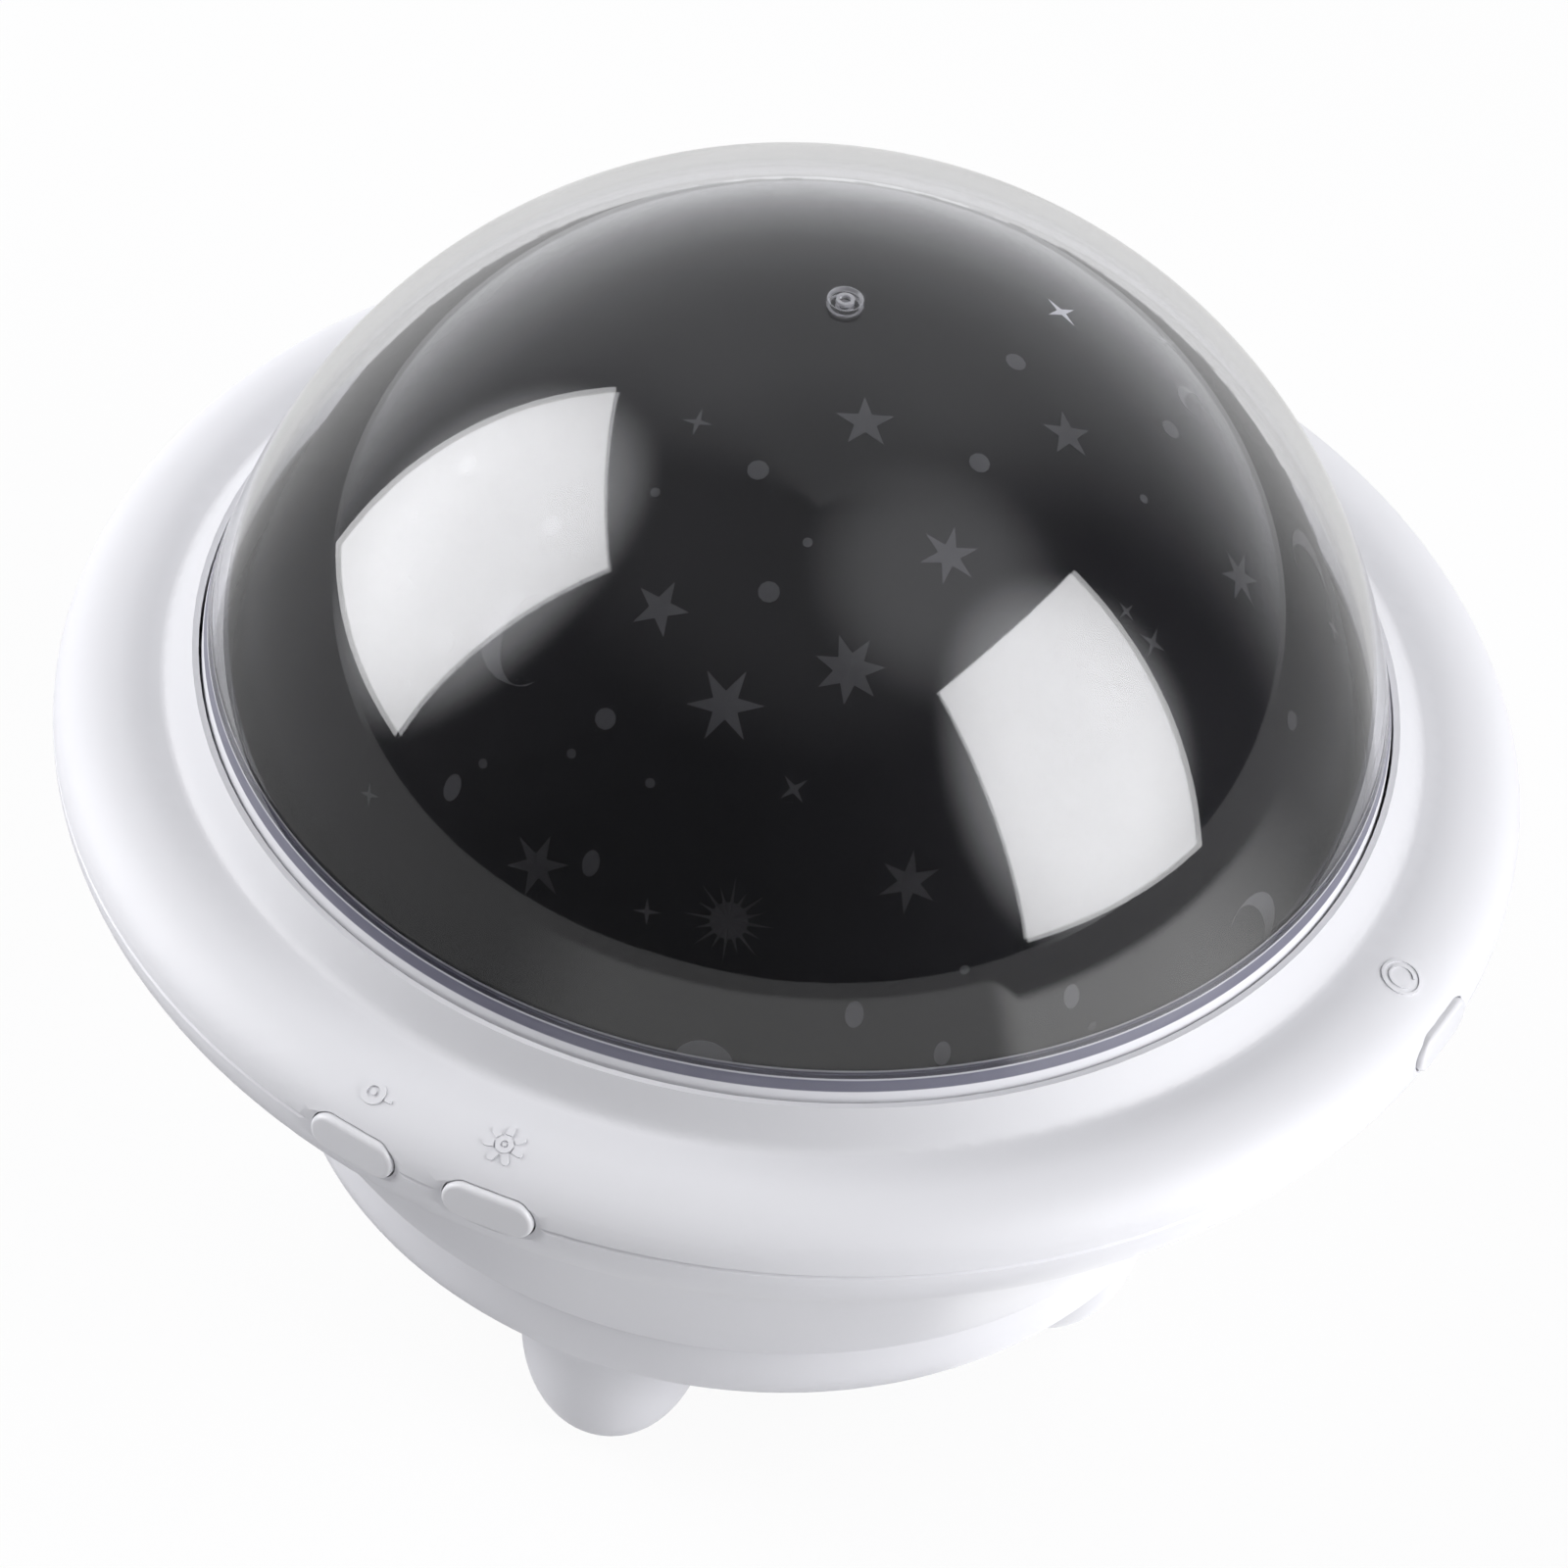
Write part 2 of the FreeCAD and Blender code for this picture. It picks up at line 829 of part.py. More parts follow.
def make_dome_cover():
    inner_ball = cover_radius - cover_wall
    inner_rim_z = cover_rim_z + cover_rim_height
    inner_rim_radius = sphere_height(inner_rim_z - cover_centre_z, inner_ball)

    def on_ball(ball, angle):
        return Vector(ball * math.cos(angle), 0, cover_centre_z + ball * math.sin(angle))

    low_out = math.asin((cover_rim_z - cover_centre_z) / cover_radius)
    low_in = math.asin((inner_rim_z - cover_centre_z) / inner_ball)
    top = math.pi / 2
    edges = [
        Part.Arc(
            on_ball(cover_radius, low_out),
            on_ball(cover_radius, (low_out + top) / 2),
            on_ball(cover_radius, top),
        ).toShape(),
        line((0, cover_centre_z + cover_radius), (0, cover_centre_z + inner_ball)),
        Part.Arc(
            on_ball(inner_ball, top),
            on_ball(inner_ball, (low_in + top) / 2),
            on_ball(inner_ball, low_in),
        ).toShape(),
        line((inner_rim_radius, inner_rim_z), (skirt_bore, inner_rim_z)),
        line((skirt_bore, inner_rim_z), (skirt_bore, seat_z)),
        line((skirt_bore, seat_z), (skirt_radius, seat_z)),
        line((skirt_radius, seat_z), (skirt_radius, cover_rim_z)),
    ]
    cover = turn(Part.Face(Part.Wire(edges)))
    floor_z = cover_centre_z + cover_radius - dimple_depth
    dimple = Part.makeCone(
        dimple_radius - dimple_depth, dimple_radius, dimple_depth, Vector(0, 0, floor_z)
    )
    cover = cut(cover, dimple)
    added = [ring(stub_bore, stub_radius, floor_z - root, floor_z + stub_height)]
    for number in range(lug_count):
        azimuth = lug_azimuth + number * 360 / lug_count
        rooted = skirt_bore + cover_skirt_wall / 2
        lug = block(lug_width, lug_inner_radius, rooted, seat_z, seat_z + lug_height)
        heel_near = rooted - heel_depth
        heel = block(lug_width, heel_near, rooted, disc_z, inner_rim_z - root)
        added += [place(lug, azimuth), place(heel, azimuth)]
    return fuse(cover, *added)


# Printed star dome

def make_star_dome():
    outer = Part.makeSphere(star_dome_radius, Vector(0, 0, cover_centre_z))
    inner = Part.makeSphere(star_dome_radius - star_dome_wall, Vector(0, 0, cover_centre_z))
    above = rod(star_dome_radius + past, disc_top_z, cover_centre_z + star_dome_radius + past)
    return cut(outer, inner).common(above)


# Turntable with its gear

def make_turntable():
    disc_radius = sphere_height(disc_top_z - cover_centre_z, star_dome_radius)
    spigot_top = disc_top_z + spigot_height
    inner_ball = star_dome_radius - star_dome_wall
    spigot_radius = sphere_height(spigot_top - cover_centre_z, inner_ball) - spigot_clearance
    bore = hub_radius + running_gap
    disc = ring(bore, disc_radius, disc_z, disc_top_z)
    spigot = ring(spigot_radius - spigot_wall, spigot_radius, disc_top_z - root, spigot_top)
    hub = ring(bore, bore + turntable_hub_wall, turntable_hub_z, turntable_hub_top_z)
    teeth = gear(gear_teeth, gear_face + root, gear_z, 0.0)
    gear_bore = gear_radius - gear_module * dedendum_share - gear_rim
    teeth = cut(teeth, rod(gear_bore, gear_z - past, disc_z + past))
    ribs = []
    for number in range(turntable_rib_count):
        rib = block(
            turntable_rib,
            bore + turntable_hub_wall / 2,
            gear_bore + gear_rim / 2,
            disc_z - turntable_rib_height,
            disc_z + root,
        )
        ribs.append(place(rib, number * 360 / turntable_rib_count))
    return fuse(disc, spigot, hub, teeth, *ribs)


def make_thrust_washer():
    bore = hub_radius + washer_clearance
    return ring(bore, shoulder_radius, shoulder_z, shoulder_z + washer_thickness)


def shaft_centre():
    return spot(centre_distance, motor_azimuth, 0)


def motor_screw_points(z):
    middle = spot(centre_distance + motor_offset, motor_azimuth, z)
    half = motor_ear_spacing / 2
    return [Vector(middle.x - half, middle.y, z), Vector(middle.x + half, middle.y, z)]


# Chassis: the plate that carries the turntable, the lamp column and the motor

def lug_turn(reach):
    """The angle that a width takes at the lugs' inner radius."""
    return math.degrees(reach / lug_inner_radius)


def make_chassis():
    flange_in = chassis_ring_radius - chassis_wall
    foot_z = plate_top_z - root
    plate = rod(neck_tube_radius - plate_clearance, plate_z, plate_top_z)
    standing = ring(flange_in, chassis_ring_radius, foot_z, flange_top_z)
    flange = ring(flange_in, flange_radius, flange_z, flange_top_z)
    notches = []
    stops = []
    for number in range(lug_count):
        azimuth = lug_azimuth + number * 360 / lug_count
        notch = block(
            lug_width + 4 * lug_clearance,
            chassis_ring_radius,
            flange_radius + past,
            flange_z - past,
            flange_top_z + past,
        )
        notches.append(place(notch, azimuth + unlock_angle))
        stop = block(
            stop_width, chassis_ring_radius - root, flange_radius, seat_z, flange_z + root
        )
        behind = lug_turn(lug_width / 2 + stop_width / 2 + lug_clearance)
        stops.append(place(stop, azimuth - behind))
    hub = rod(hub_radius, foot_z, hub_top_z)
    shoulder = rod(shoulder_radius, foot_z, shoulder_z)
    added = [standing, cut(flange, *notches), hub, shoulder, *stops]
    for azimuth in ear_azimuths:
        centre = spot(ear_circle_radius, azimuth, 0)
        arm_near = neck_tube_radius - ear_radius
        arm = block(2 * ear_radius, arm_near, ear_circle_radius, plate_z, plate_top_z)
        added.append(place(arm, azimuth))
        added.append(rod(ear_radius, plate_z, plate_top_z, (centre.x, centre.y)))
    for azimuth in post_azimuths:
        centre = spot(post_circle_radius, azimuth, 0)
        added.append(rod(post_radius, floor_top_z, plate_z + root, (centre.x, centre.y)))
    boss_top_z = plate_top_z + motor_boss_height
    for point in motor_screw_points(foot_z):
        added.append(rod(motor_boss_radius, point.z, boss_top_z, (point.x, point.y)))
    chassis = fuse(plate, *added)
    shaft = shaft_centre()
    holes = [
        rod(hub_bore_radius, shoulder_z, hub_top_z + past),
        rod(wire_bore_radius, plate_z - past, shoulder_z + past),
        rod(pinion_radius, plate_z - past, plate_top_z + past, (shaft.x, shaft.y)),
    ]
    clearance_radius = screw_shank + shank_clearance
    for point in lamp_screw_points(plate_z - past):
        holes.append(pilot(point, shoulder_z - plate_z + 2 * past, clearance_radius))
    for point in ear_points(plate_z - past):
        holes.append(pilot(point, plate_thickness + 2 * past, clearance_radius))
    post_pilot = past + body_screw_length - wall + pilot_end
    for azimuth in post_azimuths:
        holes.append(pilot(spot(post_circle_radius, azimuth, floor_top_z - past), post_pilot))
    for point in motor_screw_points(plate_z - past):
        holes.append(pilot(point, boss_top_z - plate_z + 2 * past))
    notch = block(
        socket_board_width + 2 * past,
        chassis_ring_radius + past,
        body_radius,
        plate_z - past,
        plate_top_z + past,
    )
    holes.append(place(notch, socket_azimuth))
    return cut(chassis, *holes)


def lamp_screw_points(z):
    return [Vector(-lamp_screw_offset, 0, z), Vector(lamp_screw_offset, 0, z)]


# Lamp column, board and light sources

def make_lamp_post():
    spigot = rod(hub_bore_radius - post_spigot_clearance, shoulder_z, hub_top_z + root)
    flange = rod(post_flange_radius, hub_top_z, hub_top_z + post_flange)
    column = rod(post_column_radius, hub_top_z, post_top_z)
    flare = led_board_radius - post_column_radius
    rim_z = post_top_z - post_head_rim
    head = Part.makeCone(post_column_radius, led_board_radius, flare, Vector(0, 0, rim_z - flare))
    rim = rod(led_board_radius, rim_z, post_top_z)
    bore = rod(wire_bore_radius, shoulder_z - past, post_top_z + past)
    depth = lamp_screw_length - (shoulder_z - plate_z) + pilot_end
    holes = [pilot(point, depth) for point in lamp_screw_points(shoulder_z)]
    return cut(fuse(spigot, flange, column, head, rim), bore, *holes)


def make_led_board():
    top = post_top_z + board_thickness
    board = rod(led_board_radius, post_top_z, top)
    holes = [
        rod(led_wire_hole, post_top_z - past, top + past, (x, 0))
        for x in (-led_wire_spacing, led_wire_spacing)
    ]
    return cut(board, *holes)


def make_leds():
    """One light source in the middle and the others round it, each with a domed lens."""
    z = post_top_z + board_thickness
    top = z + led_height
    made = []
    places = [Vector(0, 0, z)]
    for number in range(led_count):
        places.append(spot(led_circle_radius, 45 + number * 360 / led_count, z))
    for point in places:
        body = Part.makeBox(
            led_side, led_side, led_height,
            Vector(point.x - led_side / 2, point.y - led_side / 2, z),
        )
        lens = Part.makeCone(
            led_lens_radius, led_lens_radius / 2, led_lens_height, Vector(point.x, point.y, top)
        )
        made.append(fuse(body, lens))
    return Part.makeCompound(made)


# Motor with its shaft and pinion

def make_motor():
    shaft = shaft_centre()
    middle = spot(centre_distance + motor_offset, motor_azimuth, 0)
    can_top = plate_z - motor_flange
    can = rod(motor_radius, can_top - motor_height, can_top, (middle.x, middle.y))
    low_edge = [e for e in can.Edges if e.BoundBox.ZMax < can_top - motor_height / 2]
    can = can.makeChamfer(motor_edge, low_edge)
    bar = Part.makeBox(
        motor_ear_spacing, 2 * motor_ear_radius, motor_flange,
        Vector(middle.x - motor_ear_spacing / 2, middle.y - motor_ear_radius, can_top),
    )
    ears = [
        rod(motor_ear_radius, can_top, plate_z, (point.x, point.y))
        for point in motor_screw_points(0)
    ]
    lid = rod(motor_radius, can_top - root, plate_z, (middle.x, middle.y))
    lead_box = Part.makeBox(
        lead_box_width, lead_box_depth, lead_box_height,
        Vector(
            middle.x - lead_box_width / 2,
            middle.y + motor_radius - lead_box_depth / 2,
            can_top - lead_box_drop - lead_box_height,
        ),
    )
    body = fuse(can, bar, lid, lead_box, *ears)
    well = shaft_depth + pilot_end
    holes = [rod(shaft_radius + running_gap, can_top - well, plate_z + past, (shaft.x, shaft.y))]
    for point in motor_screw_points(0):
        centre = (point.x, point.y)
        holes.append(rod(screw_shank + shank_clearance, can_top - past, plate_z + past, centre))
    return cut(body, *holes)


def make_motor_shaft():
    shaft = shaft_centre()
    low = plate_z - motor_flange - shaft_depth
    return rod(shaft_radius, low, gear_z + gear_face - pinion_end_gap, (shaft.x, shaft.y))


def make_drive_pinion():
    """The pinion's teeth stand in the gaps of the turntable's gear."""
    shaft = shaft_centre()
    centre = (shaft.x, shaft.y)
    towards = math.degrees(math.atan2(shaft.y, shaft.x))
    step = 360 / gear_teeth
    offset = (towards / step) % 1.0
    pinion_step = 360 / pinion_teeth
    phase = towards + 180 + pinion_step * (0.5 + offset)
    low = gear_z + pinion_end_gap
    teeth = gear(pinion_teeth, gear_face - 2 * pinion_end_gap, low, phase)
    teeth.translate(Vector(shaft.x, shaft.y, 0))
    collar = rod(shaft_radius + pinion_collar_wall, gear_z - pinion_collar, low + root, centre)
    bore = rod(shaft_radius, gear_z - pinion_collar - past, gear_z + gear_face + past, centre)
    return cut(fuse(teeth, collar), bore)


# Buttons with their switches

def button_parts():
    """The cap, plunger, switch and board of one button at the front."""
    face = button_face_radius
    behind = face - button_cap_depth
    cap = stadium(button_length, button_height, behind, face, parting_z)
    rim = [e for e in cap.Edges if e.BoundBox.YMax < -(face + behind) / 2]
    cap = cap.makeFillet(button_edge, rim)
    flange = stadium(
        button_length + 2 * button_flange,
        button_height + 2 * button_flange,
        behind - button_flange_depth,
        behind,
        parting_z,
    )
    board_face = key_board_radius + board_thickness
    switch_face = board_face + switch_depth
    stem_end = switch_face + plunger_reach
    stem = along(stem_radius, stem_end, behind)
    button = fuse(cap, flange, stem)
    plunger = along(plunger_radius, stem_end - plunger_reach - plunger_seat, stem_end)
    switch = block(
        switch_side,
        board_face,
        switch_face,
        parting_z - switch_side / 2,
        parting_z + switch_side / 2,
    )
    well_depth = plunger_seat + button_travel + button_gap
    well = along(plunger_radius + running_gap, switch_face - well_depth, switch_face + past)
    board = block(
        key_board_width, key_board_radius, board_face, key_board_bottom_z, key_board_top_z
    )
    return {"button": button, "plunger": plunger, "switch": cut(switch, well), "key_board": board}


def along(radius, near, far):
    """A round bar at the front, level with the parting plane, that runs along the radius."""
    return Part.makeCylinder(radius, far - near, Vector(0, -near, parting_z), Vector(0, -1, 0))


# Socket and its board

def make_socket_parts():
    near = socket_pocket_floor - socket_depth
    back = near + socket_blade
    tube = stadium(socket_width, socket_height, near, socket_pocket_floor, socket_z)
    inside = stadium(
        socket_width - 2 * socket_wall,
        socket_height - 2 * socket_wall,
        back,
        socket_pocket_floor + past,
        socket_z,
    )
    blade = block(
        socket_width / 2,
        near,
        socket_pocket_floor - 2 * socket_blade,
        socket_z - socket_blade / 2,
        socket_z + socket_blade / 2,
    )
    socket = fuse(cut(tube, inside), blade)
    board = block(
        socket_board_width,
        socket_pocket_floor - socket_board_depth,
        socket_pocket_floor - socket_board_setback,
        socket_low_z - board_thickness,
        socket_low_z,
    )
    holes = [
        pilot(point, board_thickness + 2 * past, screw_shank + shank_clearance)
        for point in socket_screw_points(socket_low_z - board_thickness - past)
    ]
    return place(socket, socket_azimuth), place(cut(board, *holes), socket_azimuth)


# Main board and what stands on it

def make_main_board():
    board = Part.makeBox(
        main_board_x, main_board_y, board_thickness,
        Vector(-main_board_x / 2, -main_board_y / 2, main_board_z),
    )
    corners = [e for e in board.Edges if e.BoundBox.ZLength > board_thickness / 2]
    board = board.makeFillet(main_board_corner, corners)
    holes = [
        pilot(corner, board_thickness + 2 * past, screw_shank + shank_clearance)
        for corner in board_corners(main_board_z - past)
    ]
    return cut(board, *holes)


def connector(x, z):
    """An open-topped plug housing at the front edge of the board."""
    near_y = connector_inset - main_board_y / 2
    shell = Part.makeBox(
        connector_width, connector_depth, connector_height,
        Vector(x - connector_width / 2, near_y, z),
    )
    mouth = Part.makeBox(
        connector_width - 2 * connector_wall,
        connector_depth - 2 * connector_wall,
        connector_height,
        Vector(
            x - connector_width / 2 + connector_wall,
            near_y + connector_wall,
            z + connector_floor,
        ),
    )
    return cut(shell, mouth)


def make_board_parts():
    """A controller, a tall capacitor, a coil and a row of connectors."""
    z = main_board_z + board_thickness
    chip = Part.makeBox(chip_side, chip_side, chip_height, Vector(-chip_side / 2, -chip_side / 2, z))
    can = rod(can_radius, z, z + can_height, can_place)
    coil = rod(coil_radius, z, z + coil_height, coil_place)
    coil_rim = [e for e in coil.Edges if e.BoundBox.ZMin > z + coil_height / 2]
    made = [chip, can, coil.makeChamfer(coil_edge, coil_rim)]
    for number in range(connector_count):
        made.append(connector((number - (connector_count - 1) / 2) * connector_step, z))
    return Part.makeCompound(made)


def make_all():
    parts = {
        "upper_shell": make_upper_shell(),
        "lower_shell": make_lower_shell(),
        "base": make_base(),
        "foot_pads": make_foot_pads(),
        "dome_cover": make_dome_cover(),
        "star_dome": make_star_dome(),
        "chassis": make_chassis(),
        "turntable": make_turntable(),
        "thrust_washer": make_thrust_washer(),
        "lamp_post": make_lamp_post(),
        "led_board": make_led_board(),
        "leds": make_leds(),
        "motor": make_motor(),
        "motor_shaft": make_motor_shaft(),
        "drive_pinion": make_drive_pinion(),
        "main_board": make_main_board(),
        "board_parts": make_board_parts(),
    }
    for name, azimuth in button_azimuths.items():
        for piece, shape in button_parts().items():
            parts[f"{name}_{piece}"] = place(shape, azimuth)
    parts["power_socket"], parts["socket_board"] = make_socket_parts()
    socket_places = [
        place_point(point, socket_azimuth) for point in socket_screw_points(socket_low_z)
    ]
    parts["socket_screws"] = screws_at(socket_places, socket_screw_length, head_down=False)
    board_places = board_corners(main_board_z + board_thickness)
    parts["board_screws"] = screws_at(board_places, board_screw_length, head_down=False)
    parts["lamp_post_screws"] = screws_at(lamp_screw_points(plate_z), lamp_screw_length)
    motor_places = motor_screw_points(plate_z - motor_flange)
    parts["motor_screws"] = screws_at(motor_places, motor_screw_length)
    parts["chassis_screws"] = screws_at(ear_points(plate_z), chassis_screw_length)
    posts = [spot(post_circle_radius, azimuth, bowl_z) for azimuth in post_azimuths]
    parts["body_screws"] = screws_at(posts, body_screw_length)
    base_places = base_screw_points(base_bottom_z + base_screw_sink)
    parts["base_screws"] = screws_at(base_places, base_screw_length)
    return parts


def place_point(point, azimuth):
    angle = math.radians(azimuth)
    x = point.x * math.cos(angle) - point.y * math.sin(angle)
    y = point.x * math.sin(angle) + point.y * math.cos(angle)
    return Vector(x, y, point.z)


os.makedirs("parts", exist_ok=True)
for name, shape in make_all().items():
    if not shape.isValid():
        print("not valid:", name)
    print(f"{name:22s} solids {len(shape.Solids)}  volume {shape.Volume:10.1f}  faces {len(shape.Faces)}")
    shape.exportStep(f"parts/{name}.step")
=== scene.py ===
import json
import math

import bpy
import numpy as np
from mathutils import Matrix, Vector
from mathutils.bvhtree import BVHTree

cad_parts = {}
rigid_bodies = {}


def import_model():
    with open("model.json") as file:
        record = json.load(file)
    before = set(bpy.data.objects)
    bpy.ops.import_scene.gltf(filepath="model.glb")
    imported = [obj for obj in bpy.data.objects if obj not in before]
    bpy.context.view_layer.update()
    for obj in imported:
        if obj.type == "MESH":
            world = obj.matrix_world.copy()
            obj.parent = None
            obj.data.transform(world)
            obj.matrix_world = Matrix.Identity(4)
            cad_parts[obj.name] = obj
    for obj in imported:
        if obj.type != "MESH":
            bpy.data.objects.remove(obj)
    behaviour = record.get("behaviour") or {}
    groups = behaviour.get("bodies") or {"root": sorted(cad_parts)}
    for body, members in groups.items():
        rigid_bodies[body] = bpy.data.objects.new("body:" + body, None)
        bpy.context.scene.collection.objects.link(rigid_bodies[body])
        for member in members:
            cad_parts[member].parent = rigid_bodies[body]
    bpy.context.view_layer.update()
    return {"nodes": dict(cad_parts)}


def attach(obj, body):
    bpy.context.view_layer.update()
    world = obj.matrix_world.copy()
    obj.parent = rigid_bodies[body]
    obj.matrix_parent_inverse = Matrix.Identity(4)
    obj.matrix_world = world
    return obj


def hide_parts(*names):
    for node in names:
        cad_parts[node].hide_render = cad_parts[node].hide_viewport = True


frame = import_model()
cadNodes = frame["nodes"]
scene = bpy.context.scene
scene.view_settings.view_transform = "Standard"
mm = 0.001
print("frame loaded:", len(cadNodes), "nodes")


# A socket that takes part in sums, so that shader maths reads as maths
class Flow:
    def __init__(self, book, socket):
        self.book = book
        self.socket = socket

    def maths(self, operation, *others):
        values = dict(enumerate((self,) + others))
        return self.book.add("ShaderNodeMath", {"operation": operation}, values)

    def __add__(self, other):
        return self.maths("ADD", other)

    def __radd__(self, other):
        return self.maths("ADD", other)

    def __sub__(self, other):
        return self.maths("SUBTRACT", other)

    def __rsub__(self, other):
        return self.book.add("ShaderNodeMath", {"operation": "SUBTRACT"}, {0: other, 1: self})

    def __mul__(self, other):
        return self.maths("MULTIPLY", other)

    def __rmul__(self, other):
        return self.maths("MULTIPLY", other)

    def __truediv__(self, other):
        return self.maths("DIVIDE", other)

    def __pow__(self, other):
        return self.maths("POWER", other)

    def clipped(self):
        return self.book.add("ShaderNodeClamp", {}, {"Value": self})

    # Rises softly from 0 at the start to 1 at the end
    def eased(self, start, end):
        settings = {"interpolation_type": "SMOOTHSTEP"}
        return self.book.add("ShaderNodeMapRange", settings, {0: self, 1: start, 2: end})

    # How far a vector reaches along an axis
    def along(self, axis):
        settings = {"operation": "DOT_PRODUCT"}
        return self.book.add("ShaderNodeVectorMath", settings, {0: self, 1: tuple(axis)}, out="Value")

    def length(self):
        return self.book.add("ShaderNodeVectorMath", {"operation": "LENGTH"}, {0: self}, out="Value")

    def height(self):
        return self.book.add("ShaderNodeSeparateXYZ", {}, {0: self}, out="Z")


# One node tree, shader or geometry
class NodeBook:
    def __init__(self, tree):
        self.tree = tree

    # A node's settings are set first, then its sockets get their values or links
    def add(self, kind, settings=None, sockets=None, out=0):
        node = self.tree.nodes.new(kind)
        for name, value in (settings or {}).items():
            if name == "stops":
                ramp = node.color_ramp.elements
                while len(ramp) < len(value):
                    ramp.new(0.5)
                for element, (place, colour) in zip(ramp, value):
                    element.position = place
                    element.color = colour
            else:
                setattr(node, name, value)
        for name, value in (sockets or {}).items():
            socket = node.inputs[name]
            for one in value if isinstance(value, list) else [value]:
                if isinstance(one, Flow):
                    self.tree.links.new(one.socket, socket)
                else:
                    socket.default_value = one
        return Flow(self, node.outputs[out]) if node.outputs else None

    def other(self, flow, name):
        return Flow(self, flow.socket.node.outputs[name])

    def noise(self, place, size, detail, rough=0.5):
        sockets = {"Vector": place, "Scale": 1 / size, "Detail": detail, "Roughness": rough}
        return self.add("ShaderNodeTexNoise", {}, sockets)

    def blend(self, amount, first, second, way="MIX"):
        settings = {"data_type": "RGBA", "blend_type": way}
        return self.add("ShaderNodeMix", settings, {0: amount, 6: first, 7: second}, out=2)

    def blendShaders(self, amount, first, second):
        return self.add("ShaderNodeMixShader", {}, {0: amount, 1: first, 2: second})


def newMaterial(name):
    material = bpy.data.materials.new(name)
    material.use_nodes = True
    material.node_tree.nodes.clear()
    return material, NodeBook(material.node_tree)


def grey(level):
    return (level, level, level, 1.0)


def tinted(colour, factor):
    return tuple(min(1.0, c * factor) for c in colour[:3]) + (1.0,)


# What a surface has where its own look says nothing else
plainLook = {
    "drift": 0.03,
    "driftSize": 30 * mm,
    "roughDrift": 0.1,
    "glossSize": 6 * mm,
    "grainSize": 0.3 * mm,
    "grainRough": 0.6,
    "grainDepth": 0.04 * mm,
    "grainStrength": 0.12,
    "metal": 0.0,
    "specular": 0.5,
    "ior": 1.46,
}


# Moulded or pressed surface: broad shade drift, finer gloss drift and a skin of fine grain
def surfaceMaterial(ownLook):
    look = dict(plainLook, **ownLook)
    material, book = newMaterial(look["name"])
    place = book.add("ShaderNodeTexCoord", out="Object")
    broad = book.noise(place, look["driftSize"], 3.0)
    fine = book.noise(place, look["glossSize"], 4.0)
    grain = book.noise(place, look["grainSize"], 2.0, look["grainRough"])
    dark, pale = tinted(look["colour"], 1 - look["drift"]), tinted(look["colour"], 1 + look["drift"])
    colour = book.blend(broad, dark, pale)
    if "extra" in look:
        colour = look["extra"](book, place, colour)
    rough = look["rough"] + (fine - 0.5) * look["roughDrift"]
    bump = book.add(
        "ShaderNodeBump",
        {},
        {"Height": grain, "Strength": look["grainStrength"], "Distance": look["grainDepth"]},
    )
    shader = book.add(
        "ShaderNodeBsdfPrincipled",
        {},
        {
            "Base Color": colour,
            "Roughness": rough.clipped(),
            "Metallic": look["metal"],
            "Normal": bump,
            "IOR": look["ior"],
            "Specular IOR Level": look["specular"],
        },
    )
    book.add("ShaderNodeOutputMaterial", {}, {"Surface": shader})
    return material


def newPiece(name, vertices, faces, material, smooth=True):
    mesh = bpy.data.meshes.new(name)
    mesh.from_pydata([tuple(v) for v in vertices], [], faces)
    mesh.validate()
    if smooth:
        mesh.shade_smooth()
    mesh.materials.append(material)
    piece = bpy.data.objects.new(name, mesh)
    scene.collection.objects.link(piece)
    return piece


onAxis = 0.0001 * mm


# A profile of (radius, height) points turned round the Z axis. Points on the axis become poles.
def turnedMesh(profile, segments):
    vertices = []
    rings = []
    for radius, height in profile:
        if radius < onAxis:
            rings.append([len(vertices)])
            vertices.append((0.0, 0.0, height))
        else:
            rings.append(list(range(len(vertices), len(vertices) + segments)))
            for step in range(segments):
                angle = 2 * math.pi * step / segments
                vertices.append((radius * math.cos(angle), radius * math.sin(angle), height))
    faces = []
    for low, high in zip(rings, rings[1:]):
        for step in range(segments):
            after = (step + 1) % segments
            if len(low) == 1 and len(high) > 1:
                faces.append((low[0], high[after], high[step]))
            elif len(high) == 1 and len(low) > 1:
                faces.append((low[step], low[after], high[0]))
            elif len(low) > 1:
                faces.append((low[step], low[after], high[after], high[step]))
    return vertices, faces


def arcPoints(centreZ, radius, startAngle, endAngle, steps):
    points = []
    for step in range(steps + 1):
        angle = startAngle + (endAngle - startAngle) * step / steps
        points.append((max(radius * math.cos(angle), 0.0), centreZ + radius * math.sin(angle)))
    return points


# A point at a distance from the axis, at an azimuth that counts from the front
def spot(radius, azimuth, height):
    angle = math.radians(azimuth)
    return Vector((radius * math.sin(angle), -radius * math.cos(angle), height))


# Camera: a long lens, turned and tipped as the photograph was taken

cameraSetup = {
    "azimuth": -27.0,  # angles in degrees, from the front
    "elevation": 43.636,
    "distance": 1.6,
    "lens": 300.3,  # lens and sensor in mm
    "sensorWidth": 36.0,
    "roll": -7.233,
    "pitch": 0.1713,
    "aim": (0.0, 0.0, 0.080),
    "clip": (0.05, 20.0),
}


